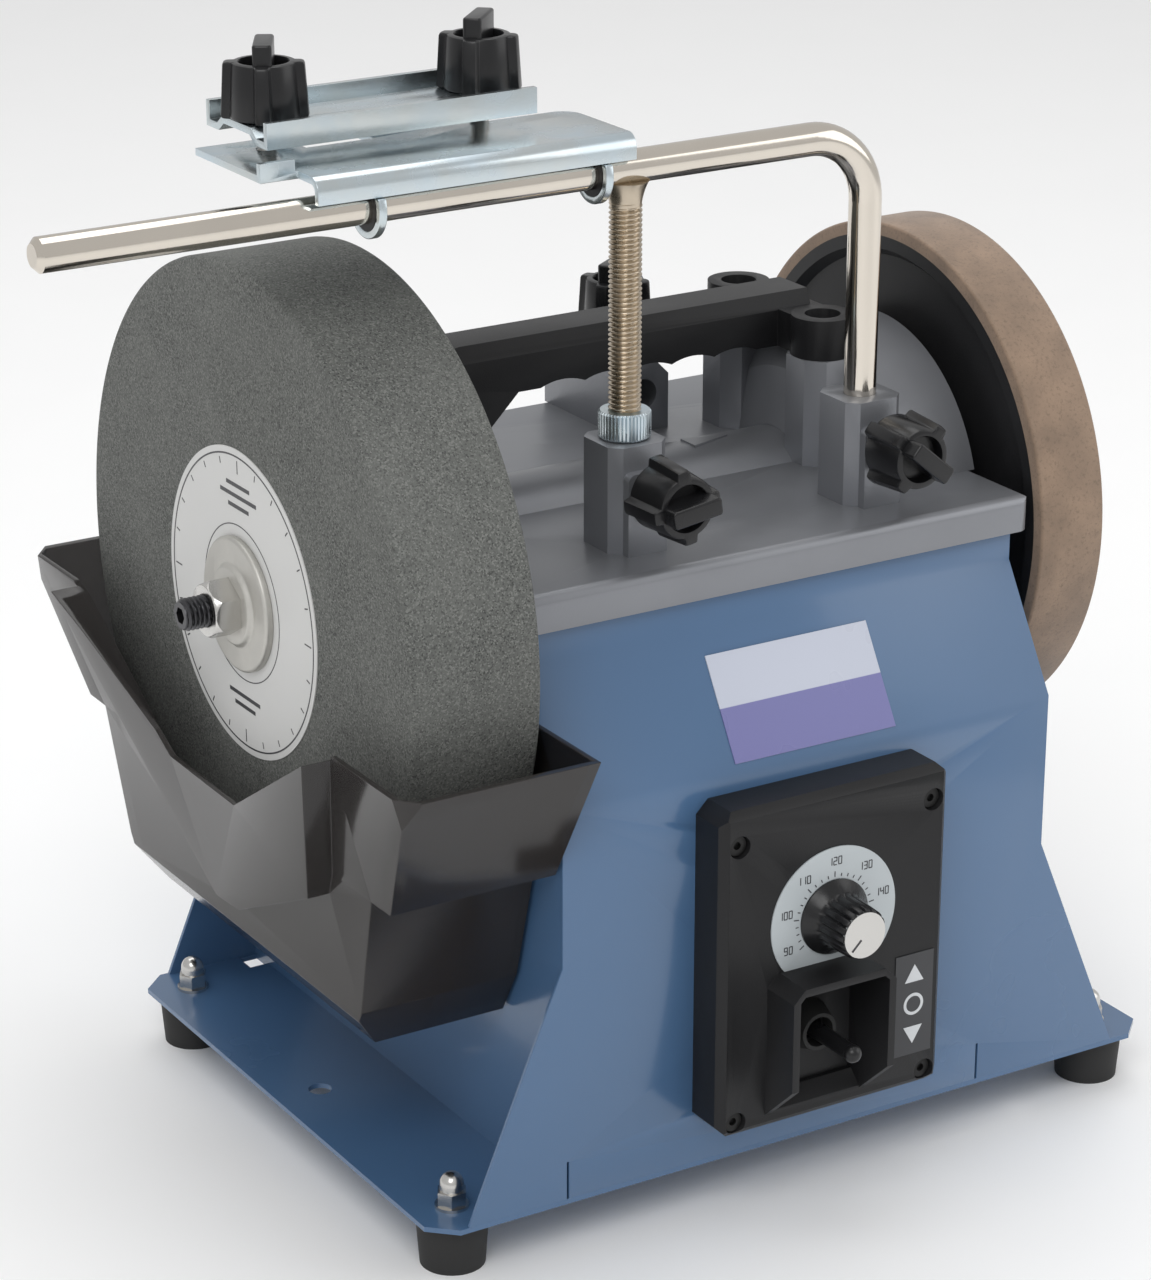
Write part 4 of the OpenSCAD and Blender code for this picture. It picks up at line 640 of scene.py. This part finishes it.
STROKES = {"A": (0, 2, 1, 2), "B": (1, 1, 1, 2), "C": (1, 0, 1, 1), "D": (0, 0, 1, 0), "E": (0, 0, 0, 1),
           "F": (0, 1, 0, 2), "G": (0, 1, 1, 1)}
DIGITS = {"0": "ABCDEF", "1": "BC", "2": "ABGED", "3": "ABGCD", "4": "FGBC", "5": "AFGCD", "6": "AFGEDC",
          "7": "ABC", "8": "ABCDEFG", "9": "ABCDFG"}


def number(text, x, y, size, thick):
    """A number in plain strokes, centred on (x, y)."""
    w, h = size * 0.45, size / 2
    step = w + size * 0.28
    out = []
    for k, digit in enumerate(text):
        left = x + (k - (len(text) - 1) / 2) * step - w / 2
        for name in DIGITS[digit]:
            x0, y0, x1, y1 = STROKES[name]
            out.append(bar(left + x0 * w, y - h + y0 * h, left + x1 * w, y - h + y1 * h, size * 0.13, thick))
    return out


def face_minus_y(part, x, y, z):
    """Stands a flat (x, y, thickness) part on a wall that looks along -Y: its Y goes up, and it grows
    towards -Y."""
    points, faces = part
    return np.asarray((x, y, z)) + np.stack([points[:, 0], -points[:, 2], points[:, 1]], -1), faces


# ---------------------------------------------------------------- operators

class GRINDER_OT_finishes(bpy.types.Operator):
    """Make every finish and give the frame nodes theirs"""
    bl_idname = "grinder.finishes"
    bl_label = "Finishes"

    def execute(self, context):
        make_finishes(context.scene.grinder_body, context.scene.grinder_stone)
        for name, nodes in NODE_FINISH.items():
            for node in nodes.split():
                obj = frame["nodes"][node]
                obj.data.materials.clear()
                obj.data.materials.append(FINISH[name])
        return {"FINISHED"}


NODE_FINISH = {
    "Blue enamel": "base_plate front_panel rear_panel left_wall right_wall",
    "Cast cover paint": "top_cover shaft_ridge cover_posts motor_caps",
    "Black moulding": "carry_handle control_box switch_body honing_core drive_wheel finger_nut jig_liners",
    "Gloss black knob": "speed_knob toggle_lever front_knob_left front_knob_right rear_knob_left"
                        " rear_knob_right jig_knob_left jig_knob_right",
    "Black rubber": "rubber_feet boot_ring inlet_grommet drive_ring",
    "Turned steel": "acorn_nuts knob_cap wheel_nut shaft_spacers bracket_bolts drive_roller jig_studs",
    "Nickel bar": "support_bar",
    "Nickel thread": "threaded_leg",
    "Zinc passivate": "height_nut jig_plate jig_hooks jig_clamp motor_bracket",
    "Black screw": "box_screws",
    "Dark steel": "foot_bolts handle_screws speed_pot capacitor motor_can main_shaft rotor",
    "Flange steel": "wheel_flanges",
    "Sintered bronze": "shaft_bushes",
    "Disc paper": "paper_disc",
    "Dial print": "dial_plate",
    "Symbol panel": "symbol_label",
    "Label bands": "front_label",
    "Board laminate": "control_board",
    "Smoked plastic": "water_trough",
    "Grit stone": "stone_wheel",
    "Tan leather": "leather_ring",
}


class GRINDER_OT_housing(bpy.types.Operator):
    """Round the edges of the front panel, the cover, the handle and the control box"""
    bl_idname = "grinder.housing"
    bl_label = "Housing"

    def execute(self, context):
        cfg = context.scene.grinder_body
        eased("front_panel", cfg.sheet_edge, FINISH["Blue enamel"])
        for node in ("top_cover", "cover_posts"):
            eased(node, cfg.cast_edge, FINISH["Cast cover paint"], segments=3, angle=25)
        eased("carry_handle", 1.2 * MM, FINISH["Black moulding"], segments=3, angle=25)
        eased("control_box", 0.5 * MM, FINISH["Black moulding"])
        return {"FINISHED"}


class GRINDER_OT_plates(bpy.types.Operator):
    """Round the edges of the jig, the trough and the stone's flange and nut"""
    bl_idname = "grinder.plates"
    bl_label = "Plates"

    def execute(self, context):
        for node in ("jig_plate", "jig_clamp", "jig_hooks"):
            eased(node, 0.5 * MM, FINISH["Zinc passivate"], segments=3)
        eased("water_trough", 0.7 * MM, FINISH["Smoked plastic"], segments=3, angle=12)
        eased("wheel_nut", 0.35 * MM, FINISH["Turned steel"])
        eased("wheel_flanges", 0.4 * MM, FINISH["Flange steel"])
        return {"FINISHED"}


class GRINDER_OT_wheels(bpy.types.Operator):
    """Turn the stone, the leather band and their small hardware"""
    bl_idname = "grinder.wheels"
    bl_label = "Wheels"

    def execute(self, context):
        cfg = context.scene.grinder_stone
        axis = centre("main_shaft")
        lo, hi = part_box("stone_wheel")
        prof = rim_profile(6.2 * MM, (hi.z - lo.z) / 2, hi.x - lo.x, cfg.edge)
        points, faces = loft(lathe(prof, 192), "open", "open")
        piece("stone", (stand(points, (lo.x, axis.y, axis.z), X_AXIS), faces), "wheel_shaft",
              FINISH["Grit stone"], ("stone_wheel",))
        lo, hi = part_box("leather_ring")
        r = (hi.z - lo.z) / 2
        prof = rim_profile(r - 5 * MM, r, hi.x - lo.x, 1.1 * MM)
        points, faces = loft(lathe(prof, 240), "open", "open")
        piece("leather_band", (stand(points, (lo.x, axis.y, axis.z), X_AXIS), faces), "wheel_shaft",
              FINISH["Tan leather"], ("leather_ring",))
        self.shaft(context.scene.grinder_thread, axis)
        self.paper(axis)
        return {"FINISHED"}

    def shaft(self, cfg, axis):
        """Threaded, socketed shaft along the wheels' axis."""
        lo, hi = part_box("main_shaft")
        points, faces = socket_shaft(6 * MM, hi.x - lo.x, 5.6 * MM, cfg)
        piece("shaft", (stand(points, (lo.x, axis.y, axis.z), X_AXIS), faces), "wheel_shaft",
              FINISH["Black oxide"], ("main_shaft",), sharp=30)

    def paper(self, axis):
        """Plain rings, ticks and bars printed on the disc."""
        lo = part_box("paper_disc")[0]
        parts = [ring(54.6 * MM, 55.2 * MM, PRINT, 160), ring(29.0 * MM, 29.4 * MM, PRINT, 160)]
        for k in range(24):
            c, q = math.cos(k * TAU / 24), math.sin(k * TAU / 24)
            r0 = (51.0 if k % 6 else 48.5) * MM
            parts.append(bar(r0 * c, r0 * q, 53.4 * MM * c, 53.4 * MM * q, 0.5 * MM, PRINT))
        for row, half in ((44, 9), (40, 14), (36, 8), (-36, 12), (-40, 8)):
            parts.append(bar(row * MM, -half * MM, row * MM, half * MM, 1.5 * MM, PRINT))
        points, faces = join(*parts)
        points = np.stack([lo.x - points[:, 2], axis.y + points[:, 1], axis.z + points[:, 0]], -1)
        piece("disc_marks", (points, faces), "wheel_shaft", FINISH["Dark print"], fix=False)


class GRINDER_OT_knobs(bpy.types.Operator):
    """Put a ribbed knob on each clamp screw and jig stud"""
    bl_idname = "grinder.knobs"
    bl_label = "Knobs"

    def execute(self, context):
        cfg = context.scene.grinder_knob
        tall = cfg.height + cfg.bar_height
        thread = context.scene.grinder_thread
        front = (0, -1, 0)
        for node, body, up, turn in (
                ("front_knob_left", "front_clamp_left", front, 8),
                ("front_knob_right", "front_clamp_right", front, -40),
                ("rear_knob_left", "rear_clamp_left", Z_AXIS, 35),
                ("rear_knob_right", "rear_clamp_right", Z_AXIS, 35),
                ("jig_knob_left", "clamp_knob_left", Z_AXIS, 60),
                ("jig_knob_right", "clamp_knob_right", Z_AXIS, 46)):
            lo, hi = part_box(node)
            mid = (lo + hi) / 2
            if up[1]:
                foot, tip = Vector((mid.x, lo.y + tall, mid.z)), hi.y
            else:
                foot, tip = Vector((mid.x, mid.y, hi.z - tall)), lo.z
            bore = 3.6 * MM if node.startswith("jig") else 0.0
            piece(node + ".ribbed", knob_skin(cfg, foot, up, turn, bore), body,
                  FINISH["Gloss black knob"], (node,))
            reach = abs((tip - foot.y) if up[1] else (tip - foot.z))
            if reach > 1 * MM:
                piece(node + ".screw", thread_skin(3 * MM, -reach, 0.5 * MM, foot, up, PITCH_M6, 28, 6), body,
                      FINISH["Turned steel"])
        self.leg(thread)
        self.nut()
        for side in ("left", "right"):
            knob = centre("jig_knob_" + side)
            lo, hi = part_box("jig_studs")
            foot = (knob.x, knob.y, lo.z)
            head = loft(lathe(np.array([(5.4, 0), (6, 0.5), (6, 3), (3, 3)]) * MM, 48))
            skin = thread_skin(3.5 * MM, 2.5 * MM, hi.z - lo.z, foot, Z_AXIS, PITCH_M6, 36, 8)
            stud = join(outward((stand(head[0], foot, Z_AXIS), head[1])), outward(skin))
            piece("stud_" + side, stud, "jig", FINISH["Turned steel"],
                  ("jig_studs",) if side == "left" else (), fix=False)
        return {"FINISHED"}

    def leg(self, cfg):
        """Height leg with its thread, and the weld bead under the bar."""
        lo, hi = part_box("threaded_leg")
        mid = (lo + hi) / 2
        foot = (mid.x, mid.y, lo.z)
        long = hi.z - lo.z
        skin = thread_skin(5.9 * MM, 0, long - 11 * MM, foot, Z_AXIS, cfg, 56, 10)
        rows = np.linspace(0, 1, 12)
        bead = lathe(np.column_stack([(5.6 + 2.7 * rows ** 1.6) * MM, long - 12.5 * MM + 9 * rows * MM]), 48)
        a = np.linspace(0, TAU, 48, endpoint=False)
        bead[..., :2] *= (1 + 0.03 * np.sin(5 * a + 3 * rows[:, None]) * rows[:, None])[..., None]
        points, faces = loft(bead)
        part = join(outward(skin), outward((stand(points, foot, Z_AXIS), faces)))
        piece("height_leg", part, "bar", FINISH["Nickel thread"], ("threaded_leg",), fix=False)

    def nut(self):
        """Knurled nut: fine flutes round a short drum with a bevelled top and foot."""
        lo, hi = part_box("height_nut")
        r, h = (hi.x - lo.x) / 2 - 0.02 * MM, hi.z - lo.z
        e = 0.7 * MM
        skin = fluted([(6.1 * MM, 0, 0), (r - e, 0, 0), (r, e, 1), (r, h - e, 1), (r - e, h, 0),
                       (6.1 * MM, h, 0)], 44, 0.55 * MM, 1.0, 352)
        mid = (lo + hi) / 2
        piece("knurled_nut", (stand(skin[0], (mid.x, mid.y, lo.z), Z_AXIS), skin[1]), "nut",
              FINISH["Zinc passivate"], ("height_nut",), sharp=25)


class GRINDER_OT_controls(bpy.types.Operator):
    """Shape the speed knob and print the dial and the switch symbols"""
    bl_idname = "grinder.controls"
    bl_label = "Controls"

    def execute(self, context):
        lo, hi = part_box("speed_knob")
        mid = (lo + hi) / 2
        skirt, grip, h = (hi.x - lo.x) / 2, 10.2 * MM, hi.y - lo.y
        back = 6.2 * MM
        hub = [(3 * MM, 0, 0), (3 * MM, back, 0), (skirt - 0.3 * MM, back, 0),
               (skirt, back + 0.3 * MM, 0), (skirt, back + 2.0 * MM, 0),
               (skirt - 1.2 * MM, back + 3.2 * MM, 0), (grip + 0.8 * MM, back + 5.6 * MM, 0)]
        ribs = [(grip, back + 7 * MM, 0.2), (grip, back + 8.5 * MM, 1), (grip - 0.5 * MM, h - 0.9 * MM, 1),
                (grip - 1.2 * MM, h, 0.4), (grip - 1.9 * MM, h, 0), (grip - 2.0 * MM, h - 0.8 * MM, 0)]
        skin = fluted(hub + ribs, 18, 1.0 * MM, 1.5, 288)
        points = np.stack([mid.x + skin[0][:, 0], hi.y - skin[0][:, 2], mid.z + skin[0][:, 1]], -1)
        piece("speed_grip", (points, skin[1]), "dial_knob", FINISH["Gloss black knob"],
              ("speed_knob",), sharp=40)
        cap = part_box("knob_cap")[0]
        line = face_minus_y(bar(-1.5 * MM, -1.5 * MM, -5.4 * MM, -5.4 * MM, 0.9 * MM, 0.06 * MM),
                            mid.x, cap.y, mid.z)
        piece("cap_line", line, "dial_knob", FINISH["Dark print"])
        self.dial(mid)
        self.symbols()
        return {"FINISHED"}

    def dial(self, mid):
        """Speed numbers and ticks round the knob, clockwise from low on the left."""
        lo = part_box("dial_plate")[0]
        parts = []
        for k in range(25):
            a = math.radians(214 - k * 248 / 24)
            c, q = math.cos(a), math.sin(a)
            r0, r1 = 15.4 * MM, (17.6 if k % 4 == 0 else 16.6) * MM
            parts.append(bar(r0 * c, r0 * q, r1 * c, r1 * q, 0.4 * MM, PRINT))
        for k, text in enumerate(("90", "100", "110", "120", "130", "140", "150")):
            a = math.radians(205 - k * 230 / 6)
            parts += number(text, 21.6 * MM * math.cos(a), 21.6 * MM * math.sin(a), 2.9 * MM, PRINT)
        joined = face_minus_y(join(*parts), mid.x, lo.y, mid.z)
        piece("dial_marks", joined, "frame", FINISH["Dark print"], fix=False)

    def symbols(self):
        """Up triangle, ring and down triangle beside the switch."""
        mid = centre("symbol_label")
        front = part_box("symbol_label")[0].y
        tri = np.array([(-4.2, -3.4), (4.2, -3.4), (0, 3.6)]) * MM
        up = prism(tri + (0, 12.5 * MM), PRINT)
        down = prism(tri[::-1] * (1, -1) + (0, -12.5 * MM), PRINT)
        parts = join(up, ring(3.2 * MM, 4.4 * MM, PRINT, 64), down)
        piece("switch_symbols", face_minus_y(parts, mid.x, front, mid.z), "frame",
              FINISH["White print"], fix=False)


class GRINDER_OT_stage(bpy.types.Operator):
    """Set the floor, the soft lights and the camera"""
    bl_idname = "grinder.stage"
    bl_label = "Stage"

    def execute(self, context):
        cfg = context.scene.grinder_stage
        scene = context.scene
        self.floor(cfg, scene)
        self.lights(cfg, scene)
        self.camera(cfg, scene)
        scene.view_settings.view_transform = "Standard"
        return {"FINISHED"}

    def floor(self, cfg, scene):
        """One flat rectangle at z = 0."""
        corners = [(-6, -3, 0), (-6, 2.2, 0), (6, 2.2, 0), (6, -3, 0)]
        mesh = bpy.data.meshes.new("floor")
        mesh.from_pydata(corners, [], [(3, 2, 1, 0)])
        floor = bpy.data.objects.new("floor", mesh)
        scene.collection.objects.link(floor)
        mesh.materials.append(finish("Pale floor", tuple(cfg.floor), rough=0.6, drift=0.0, grain=0.0))

    def lights(self, cfg, scene):
        """Even light from all round, and three soft squares aimed at the machine."""
        world = bpy.data.worlds.new("room")
        scene.world = world
        world.use_nodes = True
        world.node_tree.nodes["Background"].inputs["Color"].default_value = (1, 1, 1, 1)
        world.node_tree.nodes["Background"].inputs["Strength"].default_value = cfg.room
        aim = Vector((0, 0, 0.2))
        for name, size, power, place in (("key", 1.4, cfg.key, (-1.3, -1.5, 2.1)),
                                         ("fill", 1.6, cfg.key * 0.45, (1.9, -1.2, 1.2)),
                                         ("top", 1.8, cfg.key * 0.8, (0.1, 0.6, 2.4))):
            light = bpy.data.lights.new(name, "AREA")
            light.size = size
            light.energy = power
            obj = bpy.data.objects.new(name, light)
            obj.location = place
            obj.rotation_euler = (aim - Vector(place)).to_track_quat("-Z", "Y").to_euler()
            scene.collection.objects.link(obj)

    def camera(self, cfg, scene):
        """Long lens from above the stone's front side, shifted to centre the machine."""
        data = bpy.data.cameras.new("camera")
        data.lens = cfg.lens
        data.sensor_width = 36
        data.sensor_fit = "AUTO"
        data.shift_x = 0.0676
        data.shift_y = 0.0864
        camera = bpy.data.objects.new("camera", data)
        camera.location = (-0.6820, -1.150826, 0.692756)
        camera.rotation_euler = [math.radians(a) for a in (67.742128, 0.513745, -30.264351)]
        scene.collection.objects.link(camera)
        scene.camera = camera


STEPS = (GRINDER_OT_finishes, GRINDER_OT_housing, GRINDER_OT_plates, GRINDER_OT_wheels, GRINDER_OT_knobs,
         GRINDER_OT_controls, GRINDER_OT_stage)


class GRINDER_PT_panel(bpy.types.Panel):
    """The steps that dress the machine, in order"""
    bl_label = "Wet Grinder"
    bl_idname = "GRINDER_PT_panel"
    bl_space_type = "VIEW_3D"
    bl_region_type = "UI"
    bl_category = "Grinder"

    def draw(self, context):
        for step in STEPS:
            self.layout.operator(step.bl_idname)


SETTINGS = {"grinder_knob": KnobSettings, "grinder_thread": ThreadSettings, "grinder_stone": StoneSettings,
            "grinder_body": BodySettings, "grinder_stage": StageSettings}
CLASSES = (*SETTINGS.values(), *STEPS, GRINDER_PT_panel)


def register():
    for cls in CLASSES:
        bpy.utils.register_class(cls)
    for name, cls in SETTINGS.items():
        setattr(bpy.types.Scene, name, PointerProperty(type=cls))


def unregister():
    for name in SETTINGS:
        delattr(bpy.types.Scene, name)
    for cls in reversed(CLASSES):
        bpy.utils.unregister_class(cls)


def main():
    register()
    for step in STEPS:
        group, call = step.bl_idname.split(".")
        getattr(getattr(bpy.ops, group), call)()


if __name__ == "__main__":
    main()
